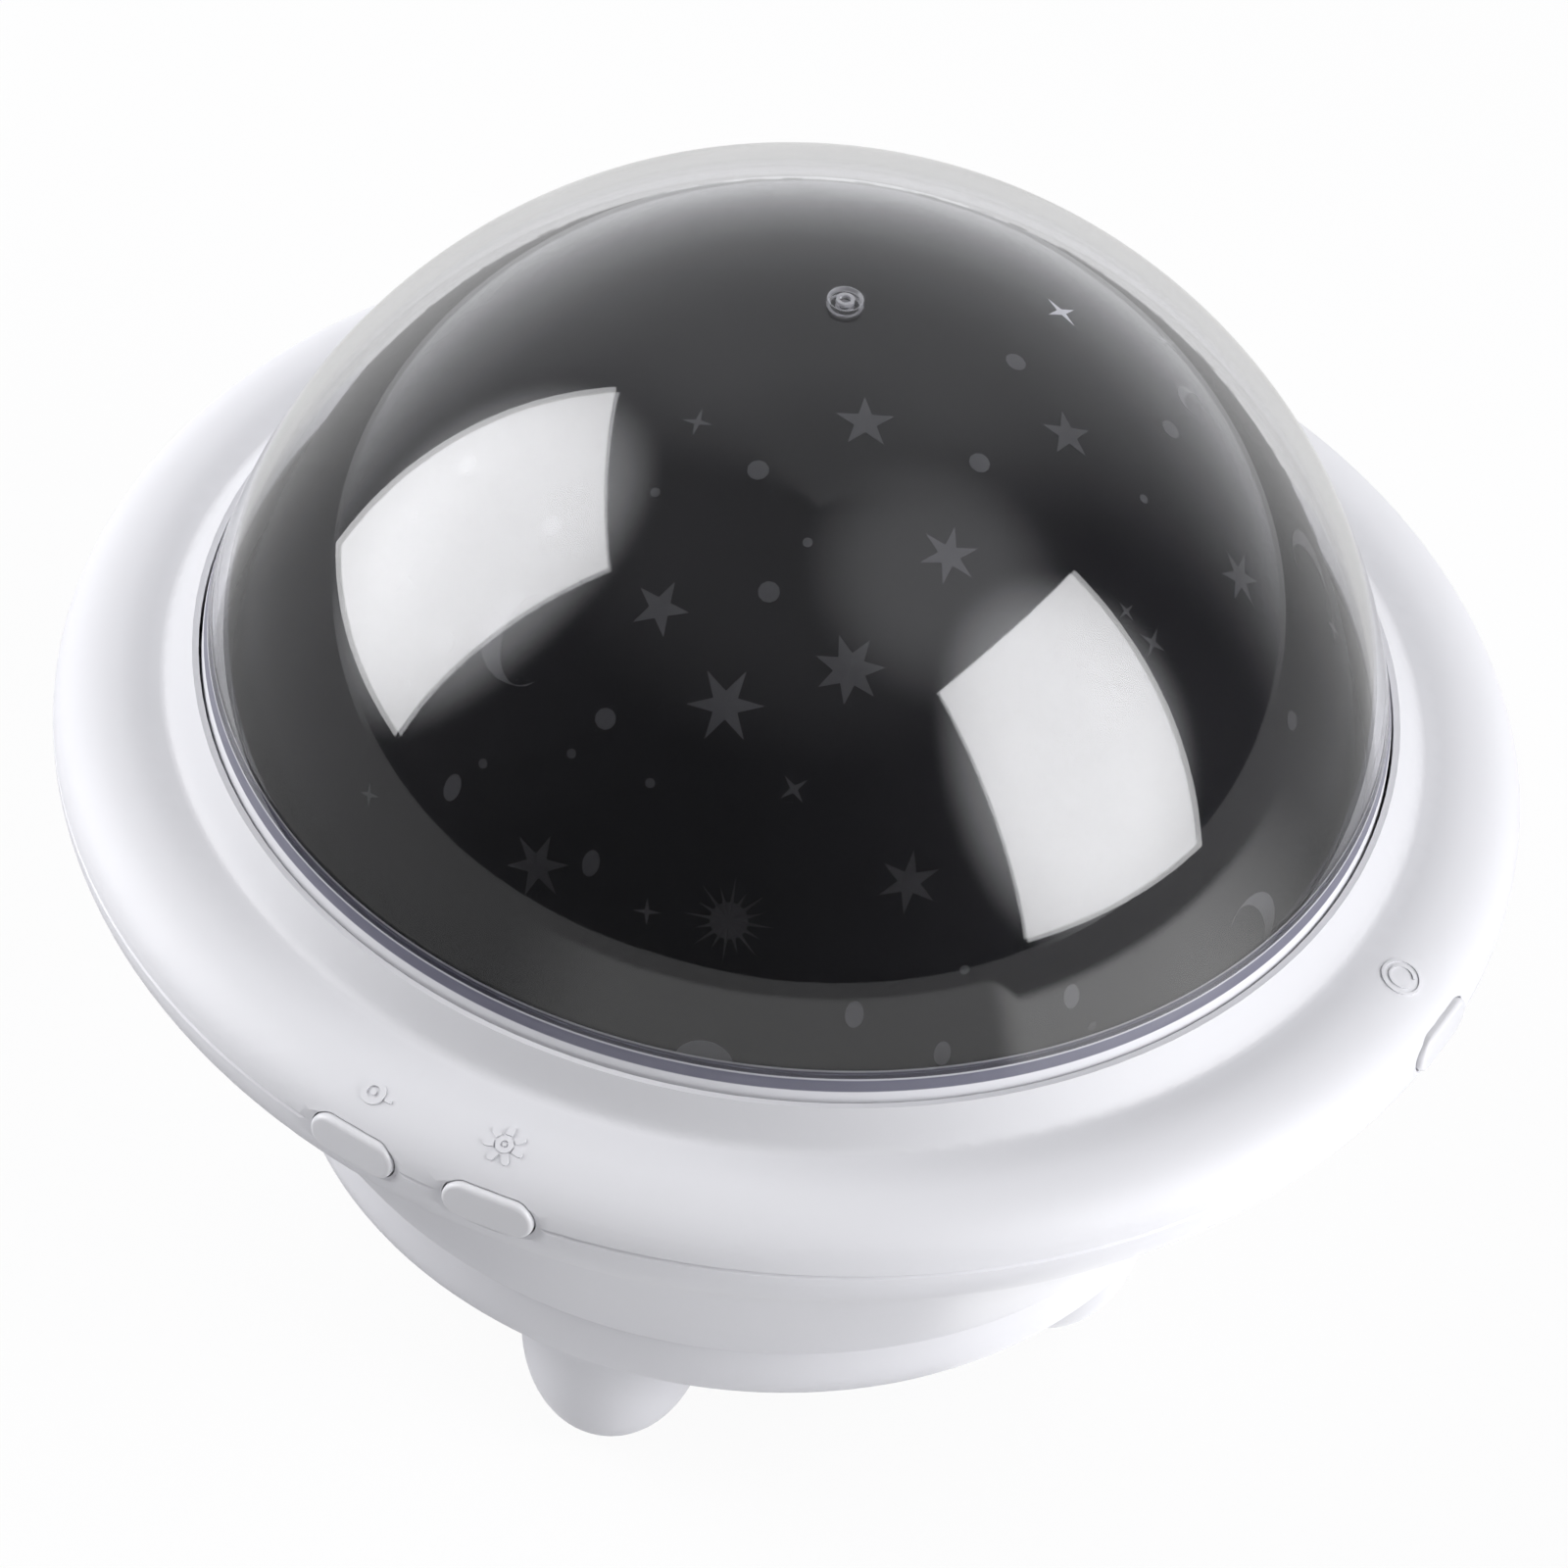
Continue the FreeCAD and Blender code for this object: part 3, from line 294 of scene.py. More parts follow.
def makeCamera(setup):
    elevation = math.radians(setup["elevation"])
    back = spot(math.cos(elevation), setup["azimuth"], math.sin(elevation))
    right = spot(1, setup["azimuth"] + 90, 0)
    up = back.cross(right)
    axes = Matrix((right, up, back))
    turned = (
        Matrix.Rotation(math.radians(setup["roll"]), 3, "Z")
        @ Matrix.Rotation(math.radians(setup["pitch"]), 3, "X")
        @ axes
    )
    data = bpy.data.cameras.new("photoCamera")
    data.sensor_width = setup["sensorWidth"]
    data.lens = setup["lens"]
    data.clip_start, data.clip_end = setup["clip"]
    camera = bpy.data.objects.new("photoCamera", data)
    place = Vector(setup["aim"]) + back * setup["distance"]
    camera.matrix_world = Matrix.Translation(place) @ turned.transposed().to_4x4()
    scene.collection.objects.link(camera)
    scene.camera = camera


makeCamera(cameraSetup)
print("camera set")


# Studio: a pale floor, two tall softboxes, a pale backdrop behind and a dim room

studio = {
    "roomLevel": 0.035,
    "backdropLevel": 0.95,
    "backdropTop": 0.79,  # heights and sides are shares of a unit direction
    "backdropFade": 0.03,
    "backdropSide": (-0.05, 0.35),
    "glowLevel": 0.5,
    "glowDirection": (0.28, -0.30, 0.913),
    "glowSpan": (0.90, 0.995),
    "mirroredRoom": 0.04,
    "wallLevel": 1.7,
    "wallSide": (0.25, 0.92),
    # height and shade
    "wallShades": ((0.0, 0.94), (0.17, 0.62), (0.40, 0.36), (0.64, 0.27), (0.85, 0.20), (1.0, 0.10)),
    "ceilingLevel": 0.13,
    "ceilingSpan": (0.60, 0.92),
    "coreLevel": 2.4,
    "coreSpan": (2.2, 0.1),  # squared distance from a softbox's middle, in half sizes
    "coreFacing": (0.6, 0.75),
    "lightColour": (0.97, 0.975, 1.0, 1.0),
}
softboxShape = {"size": (0.72, 0.95), "distance": 1.1, "colour": (0.985, 0.985, 1.0)}
softboxes = [
    {
        "name": "leftSoftbox",
        "centre": (-0.625, 0.433, 0.402),
        "across": (0.338, 0.506, -0.07),
        "radiance": 5.0,
    },
    {
        "name": "rightSoftbox",
        "centre": (0.495, -0.598, 0.367),
        "across": (0.48, 0.386, -0.06),
        "radiance": 5.5,
    },
]


def boxAxes(box):
    centre = Vector(box["centre"]).normalized()
    across = Vector(box["across"])
    across = (across - centre * across.dot(centre)).normalized()
    return across, centre.cross(across), centre


# Matte surfaces see a plain soft room. Gloss mirrors its backdrop, ceiling and the softboxes' hot middles.
def makeWorld(setup):
    world = bpy.data.worlds.new("studioRoom")
    world.use_nodes = True
    world.node_tree.nodes.clear()
    book = NodeBook(world.node_tree)
    direction = book.add("ShaderNodeTexCoord", out="Generated")
    height = direction.height()
    ahead = direction.along(-spot(1, cameraSetup["azimuth"], 0))
    glow = direction.along(setup["glowDirection"]).eased(*setup["glowSpan"]) * setup["glowLevel"]
    top, fade = setup["backdropTop"], setup["backdropFade"]
    backdrop = ahead.eased(*setup["backdropSide"]) * height.eased(top + fade, top - fade)
    room = setup["roomLevel"] + backdrop * setup["backdropLevel"] + glow

    stops = [(place, grey(shade)) for place, shade in setup["wallShades"]]
    wall = book.add("ShaderNodeValToRGB", {"stops": stops}, {"Fac": height})
    onLevel = (1 - height * height) ** 0.5
    wall = wall * (ahead / onLevel).eased(*setup["wallSide"]) * setup["wallLevel"]
    ceiling = height.eased(*setup["ceilingSpan"]) * setup["ceilingLevel"]
    mirrored = setup["mirroredRoom"] + wall + ceiling + glow
    halfWidth, halfHeight = softboxShape["size"][0] / 2, softboxShape["size"][1] / 2
    for box in softboxes:
        across, up, centre = boxAxes(box)
        facing = direction.along(centre)
        side = direction.along(across) / facing / halfWidth
        rise = direction.along(up) / facing / halfHeight
        core = (side * side + rise * rise).eased(*setup["coreSpan"]) * facing.eased(*setup["coreFacing"])
        mirrored = mirrored + core * setup["coreLevel"]

    path = book.add("ShaderNodeLightPath", out="Is Camera Ray")
    strength = room + book.other(path, "Is Glossy Ray") * (mirrored - room)
    lit = book.add("ShaderNodeBackground", {}, {"Color": setup["lightColour"], "Strength": strength})
    white = book.add("ShaderNodeBackground", {}, {"Color": grey(1.0), "Strength": 1.0})
    # A ray that only went through the clear cover still sees the white background
    bounced = book.other(path, "Diffuse Depth") + book.other(path, "Glossy Depth")
    through = (book.other(path, "Is Transmission Ray") - bounced).clipped()
    seen = (path + through).clipped()
    book.add("ShaderNodeOutputWorld", {}, {"Surface": book.blendShaders(seen, lit, white)})
    scene.world = world


def makeSoftbox(box, shape):
    data = bpy.data.lights.new(box["name"], "AREA")
    data.shape = "RECTANGLE"
    data.size, data.size_y = (side * shape["distance"] for side in shape["size"])
    data.energy = box["radiance"] * math.pi * data.size * data.size_y
    data.color = shape["colour"]
    light = bpy.data.objects.new(box["name"], data)
    across, up, centre = boxAxes(box)
    axes = Matrix((across, up, centre)).transposed()
    place = Vector(cameraSetup["aim"]) + centre * shape["distance"]
    light.matrix_world = Matrix.Translation(place) @ axes.to_4x4()
    scene.collection.objects.link(light)


# Angles count from the camera's side, in degrees, and lengths are in metres
floorShape = {
    "size": 6.0,
    "drop": 0.2 * mm,
    "colour": (0.73, 0.73, 0.74, 1.0),
    "rough": 0.9,
    "whiteShare": 0.93,  # plain white in what the camera sees
    "mirroredLeast": 0.03,
    "mirroredFront": 0.55,
    "frontFrom": (-45, -22),
    "frontTo": (105, 70),
    "edge": 1.4,  # where the front of the table ends
    "edgeFade": (1.15, 0.85),
    "mirroredRight": 1.5,
    "rightFrom": (38, 44),
    "rightCut": 0.75,  # how much nearer it ends to the right
    "mirroredBehind": 0.85,
    "behindFrom": (115, 150),
    "mirroredInWall": 0.62,
}


# Gloss mirrors a table that is pale in front and behind, brightest to the right and dark on the left
def makeFloor(shape):
    half = shape["size"] / 2
    height = -shape["drop"]
    corners = [(-half, -half, height), (half, -half, height), (half, half, height), (-half, half, height)]
    material, book = newMaterial("paleFloor")
    place = book.add("ShaderNodeTexCoord", out="Object")
    near = place.along(spot(1, cameraSetup["azimuth"], 0))
    right = place.along(spot(1, cameraSetup["azimuth"] + 90, 0))
    turn = right.maths("ARCTAN2", near) * (180 / math.pi)
    aside = turn.eased(*shape["rightFrom"])
    behind = turn.maths("ABSOLUTE").eased(*shape["behindFrom"])
    edge = shape["edge"] - aside * shape["rightCut"]
    front = turn.eased(*shape["frontFrom"]) * turn.eased(*shape["frontTo"])
    front = front * (place.length() / edge).eased(*shape["edgeFade"])
    front = front * (shape["mirroredFront"] + aside * shape["mirroredRight"])
    level = shape["mirroredLeast"] + front + behind * shape["mirroredBehind"]

    path = book.add("ShaderNodeLightPath", out="Is Camera Ray")
    passed = (book.other(path, "Is Transmission Ray") - book.other(path, "Diffuse Depth")).clipped()
    inWall = book.other(path, "Glossy Depth").clipped() * passed
    seen = (path + (passed - inWall).clipped()) * shape["whiteShare"]

    def shining(strength):
        return book.add("ShaderNodeEmission", {}, {"Color": grey(1.0), "Strength": strength})

    matte = book.add(
        "ShaderNodeBsdfPrincipled", {}, {"Base Color": shape["colour"], "Roughness": shape["rough"]}
    )
    table = book.blendShaders(book.other(path, "Is Glossy Ray"), matte, shining(level))
    table = book.blendShaders(seen, table, shining(1.0))
    table = book.blendShaders(inWall, table, shining(shape["mirroredInWall"]))
    book.add("ShaderNodeOutputMaterial", {}, {"Surface": table})
    floor = newPiece("floor", corners, [(0, 1, 2, 3)], material, smooth=False)


makeWorld(studio)
for softbox in softboxes:
    makeSoftbox(softbox, softboxShape)
makeFloor(floorShape)
print("studio set")


# Body shells and base: satin white moulding

shellLook = {
    "name": "satinWhitePlastic",
    "colour": (0.72, 0.72, 0.745),
    "drift": 0.012,
    "driftSize": 50 * mm,
    "rough": 0.46,
    "roughDrift": 0.08,
    "grainSize": 0.35 * mm,
    "grainDepth": 0.03 * mm,
    "grainStrength": 0.10,
}
buttonLook = {
    "name": "satinWhiteButton",
    "colour": (0.72, 0.72, 0.742),
    "drift": 0.01,
    "rough": 0.36,
    "roughDrift": 0.05,
    "grainSize": 0.5 * mm,
    "grainStrength": 0.05,
}


smoothing = {"edgeAngle": 28, "weld": 0.001 * mm}  # degrees; points nearer than the weld become one


def newTree(name, inputs):
    tree = bpy.data.node_groups.new(name, "GeometryNodeTree")
    tree.interface.new_socket("Geometry", in_out="INPUT", socket_type="NodeSocketGeometry")
    for label, kind in inputs:
        tree.interface.new_socket(label, in_out="INPUT", socket_type="NodeSocket" + kind)
    tree.interface.new_socket("Geometry", in_out="OUTPUT", socket_type="NodeSocketGeometry")
    return tree, NodeBook(tree)


# Merges a CAD node's loose triangles and shades it smooth except at real edges
def smoothTree():
    tree, book = newTree("smoothByAngle", [("Edge Angle", "Float")])
    tree.interface.items_tree["Edge Angle"].default_value = math.radians(smoothing["edgeAngle"])
    given = book.add("NodeGroupInput")
    merged = book.add("GeometryNodeMergeByDistance", {}, {"Geometry": given, "Distance": smoothing["weld"]})
    smooth = book.add(
        "GeometryNodeSetShadeSmooth", {"domain": "FACE"}, {"Geometry": merged, "Shade Smooth": True}
    )
    bend = book.add("GeometryNodeInputMeshEdgeAngle")
    limit = book.other(given, "Edge Angle")
    sharp = book.add("FunctionNodeCompare", {"operation": "GREATER_THAN"}, {"A": bend, "B": limit})
    creased = book.add(
        "GeometryNodeSetShadeSmooth",
        {"domain": "EDGE"},
        {"Geometry": smooth, "Selection": sharp, "Shade Smooth": False},
    )
    book.add("NodeGroupOutput", {}, {"Geometry": creased})
    return tree


nodeSmoothing = smoothTree()
# Heights over which the collar's painted shade fades in, and how much darker it gets
collarShadeSpan = {"from": 86.6 * mm, "full": 88.2 * mm, "darker": 0.11}


# Painted shade: the collar round the cover, which faces the softboxes, is painted a shade darker than the
# rest of the body
def collarShade(book, place, colour):
    collarShadeMask = place.height().eased(collarShadeSpan["from"], collarShadeSpan["full"]) * collarShadeSpan["darker"]
    return book.blend(collarShadeMask, colour, grey(0.0), "MULTIPLY")


def shadeNode(name, material):
    node = cadNodes[name]
    materials = node.data.materials
    if not materials:
        materials.append(material)
    for number in range(len(materials)):
        materials[number] = material
    modifier = node.modifiers.new("smoothShade", "NODES")
    modifier.node_group = nodeSmoothing


buttonNames = ("rotate", "brightness", "power")
# The shell's colour carries the painted collar shade
shellWhite = surfaceMaterial(dict(shellLook, extra=collarShade))
buttonWhite = surfaceMaterial(buttonLook)
for name in ("upper_shell", "lower_shell", "base"):
    shadeNode(name, shellWhite)
for name in buttonNames:
    shadeNode(name + "_button", buttonWhite)
print("shells and buttons finished")


# Clear cover: a moulded bowl of clear plastic with its gate mark and three twist lugs

coverShape = {
    "centreZ": 80.0 * mm,
    "radius": 73.702 * mm,
    "wall": 2.0 * mm,
    "skirtRadius": 72.6 * mm,
    "skirtWall": 2.2 * mm,
    "seatZ": 84.0 * mm,
    "rimHeight": 2.0 * mm,  # how much higher the ball starts inside than outside
    "edgeCut": 0.3 * mm,
    "dimpleRadius": 2.1 * mm,
    "dimpleSlope": 0.15 * mm,
    "dimpleFloor": 153.2 * mm,
    "stubRadius": 1.1 * mm,
    "stubBore": 0.7 * mm,
    "stubHeight": 0.45 * mm,
    "lugAzimuths": (27, 147, 267),
    "lugWidth": 6.0 * mm,
    "lugSteps": 4,
    # inner and outer radius, lower and upper height
    "lug": (68.9 * mm, 71.5 * mm, 84.0 * mm, 86.8 * mm),
    "heel": (69.7 * mm, 71.5 * mm, 89.5 * mm, 94.5 * mm),
    "segments": 240,
    "rings": 96,
    "sharpAngle": 40,
}
coverLook = {
    "clear": (0.975, 0.975, 0.99, 1.0),
    "ior": 1.58,
    "rough": 0.012,
    "smear": 0.02,
    "smearSize": 1 / 180,  # metres
    "waveSize": 25 * mm,
    "waveDepth": 0.4 * mm,
    "waveStrength": 0.05,
    # The rim's violet is the plastic's tint with a painted inner reflection; the bright line above it is a
    # painted highlight
    "rimWhite": (0.74, 0.74, 0.77, 1.0),
    "rimTintAndReflection": (0.18, 0.18, 0.245, 1.0),
    "rimPaintedHighlight": (0.66, 0.66, 0.70, 1.0),
    "rimRough": 0.35,
    "whiteTop": 93.4 * mm,
    "violetTop": 94.95 * mm,
    "paintedHighlightTop": 95.2 * mm,
    "bandFade": 0.1 * mm,
    "rimMistAndPaint": 0.7,  # shares of misted plastic
    "whiteMist": 0.3,
    "gateMist": 0.4,
    "gateSpan": (150 * mm, 151 * mm),
    "dimpleBand": 0.25 * mm,
    "dimpleFade": 0.2 * mm,
    "boreFade": 0.15 * mm,
    "stubFade": 0.1 * mm,
}


# Clear plastic with a misted rim: white where it enters the seat, then a violet edge that is the plastic's
# tint with a painted inner reflection, and a thin painted highlight along its top
def coverMaterial(look, shape):
    material, book = newMaterial("clearPlastic")
    place = book.add("ShaderNodeTexCoord", out="Object")
    wave = book.noise(place, look["waveSize"], 1.0)
    smear = book.noise(place, look["smearSize"], 5.0)
    bump = book.add(
        "ShaderNodeBump",
        {},
        {"Height": wave, "Strength": look["waveStrength"], "Distance": look["waveDepth"]},
    )
    height = place.height()
    flat = book.add("ShaderNodeVectorMath", {"operation": "MULTIPLY"}, {0: place, 1: (1, 1, 0)})
    reach = flat.length()

    def below(top):
        return height.eased(top + look["bandFade"], top - look["bandFade"])

    def ring(inner, outer, fadeIn, fadeOut):
        return reach.eased(inner - fadeIn, inner) * reach.eased(outer + fadeOut, outer)

    white, violet, rim = below(look["whiteTop"]), below(look["violetTop"]), below(look["paintedHighlightTop"])
    dimple = shape["dimpleRadius"]
    gate = ring(dimple - look["dimpleBand"], dimple, look["dimpleFade"], look["dimpleFade"])
    gate = gate + ring(shape["stubBore"], shape["stubRadius"], look["boreFade"], look["stubFade"])
    gate = gate * height.eased(*look["gateSpan"])
    # Violet band of tint and painted reflection, topped by the painted highlight line
    colour = book.blend(violet, look["rimPaintedHighlight"], look["rimTintAndReflection"])
    colour = book.blend(white, colour, look["rimWhite"])
    glass = book.add(
        "ShaderNodeBsdfPrincipled",
        {},
        {
            "Base Color": look["clear"],
            "Transmission Weight": 1.0,
            "IOR": look["ior"],
            "Roughness": (look["rough"] + smear * look["smear"]).clipped(),
            "Normal": bump,
        },
    )
    # Misted plastic for the gate mark and the white seat; on the rim it also carries the painted reflection
    # and highlight
    mistAndPaint = book.add(
        "ShaderNodeBsdfPrincipled", {}, {"Base Color": colour, "Roughness": look["rimRough"], "Normal": bump}
    )
    mistAndPaintShare = (rim * look["rimMistAndPaint"] + white * look["whiteMist"] + gate * look["gateMist"]).clipped()
    book.add("ShaderNodeOutputMaterial", {}, {"Surface": book.blendShaders(mistAndPaintShare, glass, mistAndPaint)})
    return material


# A block bent round the axis, from its inner and outer radius and its lower and upper height
def curvedBlock(azimuth, width, sizes, steps):
    inner, outer, low, high = sizes
    half = math.degrees(width / outer) / 2
    vertices = []
    for step in range(steps + 1):
        turn = azimuth - half + 2 * half * step / steps
        vertices += [spot(inner, turn, low), spot(outer, turn, low)]
        vertices += [spot(outer, turn, high), spot(inner, turn, high)]
    faces = [(0, 1, 2, 3), tuple(4 * steps + corner for corner in (3, 2, 1, 0))]
    for step in range(steps):
        base = 4 * step
        for side in range(4):
            after = (side + 1) % 4
            faces.append((base + after, base + side, base + 4 + side, base + 4 + after))
    return vertices, faces


def makeCover(shape):
    centreZ, radius, seatZ = shape["centreZ"], shape["radius"], shape["seatZ"]
    skirt, cut = shape["skirtRadius"], shape["edgeCut"]
    inner = radius - shape["wall"]
    bore = skirt - shape["skirtWall"]
    rimZ = centreZ + math.sqrt(radius ** 2 - skirt ** 2)
    innerRimZ = rimZ + shape["rimHeight"]
    dimple, floor = shape["dimpleRadius"], shape["dimpleFloor"]
    stubTop = floor + shape["stubHeight"]
    profile = [(0.0, floor), (shape["stubBore"], floor), (shape["stubBore"], stubTop)]
    profile += [(shape["stubRadius"], stubTop), (shape["stubRadius"], floor)]
    profile += [(dimple - shape["dimpleSlope"], floor)]
    topAngle, rimAngle = math.acos(dimple / radius), math.asin((rimZ - centreZ) / radius)
    profile += arcPoints(centreZ, radius, topAngle, rimAngle, shape["rings"])
    profile += [(skirt, seatZ + cut), (skirt - cut, seatZ), (bore, seatZ), (bore, innerRimZ)]
    innerRimAngle = math.asin((innerRimZ - centreZ) / inner)
    profile += arcPoints(centreZ, inner, innerRimAngle, math.pi / 2, shape["rings"])
    profile[-1] = (0.0, profile[-1][1])
    vertices, faces = turnedMesh(profile, shape["segments"])
    faces = [tuple(reversed(face)) for face in faces]
    for azimuth in shape["lugAzimuths"]:
        for sizes in (shape["lug"], shape["heel"]):
            more, moreFaces = curvedBlock(azimuth, shape["lugWidth"], sizes, shape["lugSteps"])
            faces += [tuple(corner + len(vertices) for corner in face) for face in moreFaces]
            vertices += more
    piece = newPiece("clearCover", vertices, faces, coverMaterial(coverLook, shape))
    piece.data.set_sharp_from_angle(angle=math.radians(shape["sharpAngle"]))
    return piece


cover = makeCover(coverShape)
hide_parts("dome_cover")
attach(cover, "cover")
print("clear cover made")


# Star dome under the cover: black lacquered print with translucent stars

starDomeShape = {
    "centreZ": 80.0 * mm,
    "radius": 69.2 * mm,
    "wall": 1.0 * mm,
    "bottomZ": 91.0 * mm,
    "segments": 240,
    "rings": 90,
    "sharpAngle": 40,
}
starDomeLook = {
    "name": "blackPrint",
    "colour": (0.008, 0.008, 0.0095),
    "drift": 0.2,
    "driftSize": 20 * mm,
    "rough": 0.5,
    "grainSize": 0.4 * mm,
    "grainStrength": 0.01,
    "specular": 0.08,
}


def makeStarDome(shape):
    centreZ, radius = shape["centreZ"], shape["radius"]
    inner = radius - shape["wall"]
    rise = shape["bottomZ"] - centreZ
    profile = arcPoints(centreZ, radius, math.pi / 2, math.asin(rise / radius), shape["rings"])
    profile += arcPoints(centreZ, inner, math.asin(rise / inner), math.pi / 2, shape["rings"])
    profile[0], profile[-1] = (0.0, profile[0][1]), (0.0, profile[-1][1])
    vertices, faces = turnedMesh(profile, shape["segments"])
    piece = newPiece("starDome", vertices, faces, surfaceMaterial(starDomeLook))
    piece.data.flip_normals()
    piece.data.set_sharp_from_angle(angle=math.radians(shape["sharpAngle"]))
    return piece


starDome = makeStarDome(starDomeShape)
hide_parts("star_dome")
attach(starDome, "turntable")
print("star dome made")


# Print on the star dome: see-through stars, moons, dots and a sun, laid on by a Geometry Nodes tree

motifShape = {
    "seed": 23,
    "lift": 0.09 * mm,  # off the dome's radius, clear of its facets
    "thickness": 0.05 * mm,
    "weld": 0.001 * mm,
    "stars": 34,
    "starKinds": ["star5", "star6", "star7", "star5", "moon", "sun"],
    "starReach": (3.2, 4.8),  # mm
    "dots": 120,
    "dotKinds": ["dot", "dot", "star4"],
    "dotReach": [0.6, 1.3, 1.3, 1.7],
    "tones": (1.6, 2.3),
    "tries": 20000,
    "spacing": 1.5 * mm,
    "lowest": 92.5 * mm,
    "highest": 0.995,  # share of the dome's radius
    "edgeGap": 0.5 * mm,
    "seenFrom": 0.1,  # scattered ones stand where they face the camera by less than this
    # Painted light: listed motifs are painted paler towards the top of the dome and darker towards its edge
    "paintedTopLight": 2.2,  # listed ones are palest at the top and darker towards the edge
    "paintedLightFall": 1.25,
    "paintedLightReach": 65,  # mm
}
motifLook = {
    "name": "clearPrint",
    "colour": (0.042, 0.042, 0.045),
    "drift": 0.25,
    "driftSize": 8 * mm,
    "rough": 0.42,
    "grainSize": 0.4 * mm,
    "grainStrength": 0.05,
    "specular": 0.15,
}
# Each one has its distance from the axis in mm, azimuth, kind, reach in mm, turn and tone; the tone is the
# print's shade together with painted light, raised for lit motifs and lowered for shaded ones
motifs = [
    (15.6, -11.8, "star5", 3.6, 10, 0.9), (22.5, -69.8, "star4", 1.9, 30, 0.9),
    (28.6, 90.3, "star4", 2.4, 20, 9.0), (32.8, 1.5, "star6", 3.7, 0, 1.0),
    (28.8, 47.2, "star5", 3.3, 35, 0.9), (41.5, -50.9, "star5", 3.5, 15, 0.9),
    (47.8, -36.5, "star6", 4.6, 12, 1.0), (43.2, -19.2, "star7", 4.2, 5, 0.8),
    (49.9, -67.4, "moon", 5.6, 200, 1.0), (53.4, -25.7, "star4", 1.9, 40, 0.9),
    (62.6, -52.8, "star6", 4.0, 25, 0.8), (59.5, -11.6, "star6", 3.8, 20, 0.7),
    (62.3, -31.0, "sun", 5.2, 0, 0.7), (68.2, -31.4, "halfDisc", 3.7, 0, 4.5),
    (62.8, -39.8, "star4", 1.6, 10, 1.0), (64.6, -74.9, "star4", 1.6, 25, 1.0),
    (53.7, -88.2, "star4", 1.8, 15, 1.0), (67.6, 30.2, "moon", 4.6, 20, 2.4),
    (24.0, -45.4, "dot", 1.3, 0, 1.0), (36.7, -34.1, "dot", 1.3, 0, 1.0),
    (52.0, -51.4, "dot", 1.3, 0, 1.0), (40.8, -75.7, "dot", 1.3, 0, 1.0),
    (44.3, -96.6, "dot", 1.3, 0, 1.0), (61.3, -65.6, "oval", 1.6, 0, 1.3),
    (61.3, -47.1, "oval", 1.5, 0, 1.2), (54.2, -76.5, "dot", 1.3, 0, 1.0),
    (66.1, -17.0, "oval", 1.6, 0, 2.2), (67.6, -7.8, "oval", 1.5, 0, 2.6),
    (66.6, 6.1, "oval", 1.5, 0, 2.6), (31.6, -64.2, "dot", 0.6, 0, 0.9),
    (64.5, -5.6, "dot", 0.6, 0, 1.3), (50.6, -95.1, "dot", 0.6, 0, 1.0),
    (58.4, -77.7, "dot", 0.6, 0, 1.0), (20.7, 63.3, "dot", 1.3, 0, 1.0),
    (44.2, 92.1, "star4", 2.3, 15, 1.6), (39.9, 66.3, "dot", 1.3, 0, 1.0),
    (43.4, 76.9, "moon", 2.4, 60, 1.2), (24.4, 20.1, "dot", 1.3, 0, 1.0),
    (51.2, 50.8, "star6", 3.4, 10, 0.9), (45.0, 28.4, "star4", 1.3, 5, 0.9),
    (48.6, 29.6, "star4", 1.9, 30, 0.9), (59.0, 66.5, "moon", 5.0, 10, 1.5),
    (62.6, 63.9, "star4", 2.2, 25, 1.4), (61.3, 45.2, "dot", 1.2, 0, 1.1),
    (39.1, 46.8, "dot", 0.6, 0, 1.0), (30.8, -28.5, "dot", 0.6, 0, 1.0),
    (55.4, -53.7, "dot", 0.6, 0, 1.0), (59.0, -63.4, "dot", 0.6, 0, 1.0),
    (55.2, -43.2, "dot", 0.6, 0, 1.0), (67.8, 8.4, "dot", 0.6, 0, 1.3),
]


def fanShape(outline):
    faces = [(0, 1 + step, 1 + (step + 1) % len(outline)) for step in range(len(outline))]
    return [(0.0, 0.0)] + outline, faces


def discShape(corners, wide=1.0, tall=1.0):
    turns = [2 * math.pi * step / corners for step in range(corners)]
    return fanShape([(wide * math.cos(turn), tall * math.sin(turn)) for turn in turns])


def starOutline(points, waist):
    outline = []
    for step in range(2 * points):
        reach = waist if step % 2 else 1.0
        angle = math.pi * step / points
        outline.append((reach * math.cos(angle), reach * math.sin(angle)))
    return outline


def sunOutline(spikes, disc, short, spread):
    outline = []
    for number in range(spikes):
        tip = short if number % 2 else 1.0
        for reach, turn in ((disc, -spread), (tip, 0), (disc, spread), (disc, 180 / spikes)):
            angle = math.radians(360 * number / spikes + turn)
            outline.append((reach * math.cos(angle), reach * math.sin(angle)))
    return outline


def moonShape(opening, thinness, steps):
    tip = math.cos(opening)
    vertices = [(tip, -math.sin(opening))]
    for step in range(1, steps):
        angle = -opening + 2 * opening * step / steps
        vertices.append((math.cos(angle), math.sin(angle)))
        vertices.append((tip + (math.cos(angle) - tip) * thinness, math.sin(angle)))
    vertices.append((tip, math.sin(opening)))
    last = len(vertices) - 1
    faces = [(0, 1, 2), (last, last - 1, last - 2)]
    for step in range(steps - 2):
        base = 1 + 2 * step
        faces.append((base, base + 2, base + 3, base + 1))
    return vertices, faces


def halfDiscShape(steps):
    turns = [math.pi * step / steps for step in range(steps + 1)]
    outline = [(math.cos(turn), math.sin(turn)) for turn in turns]
    return [(0.0, 0.0)] + outline, [(0, 1 + step, 2 + step) for step in range(steps)]


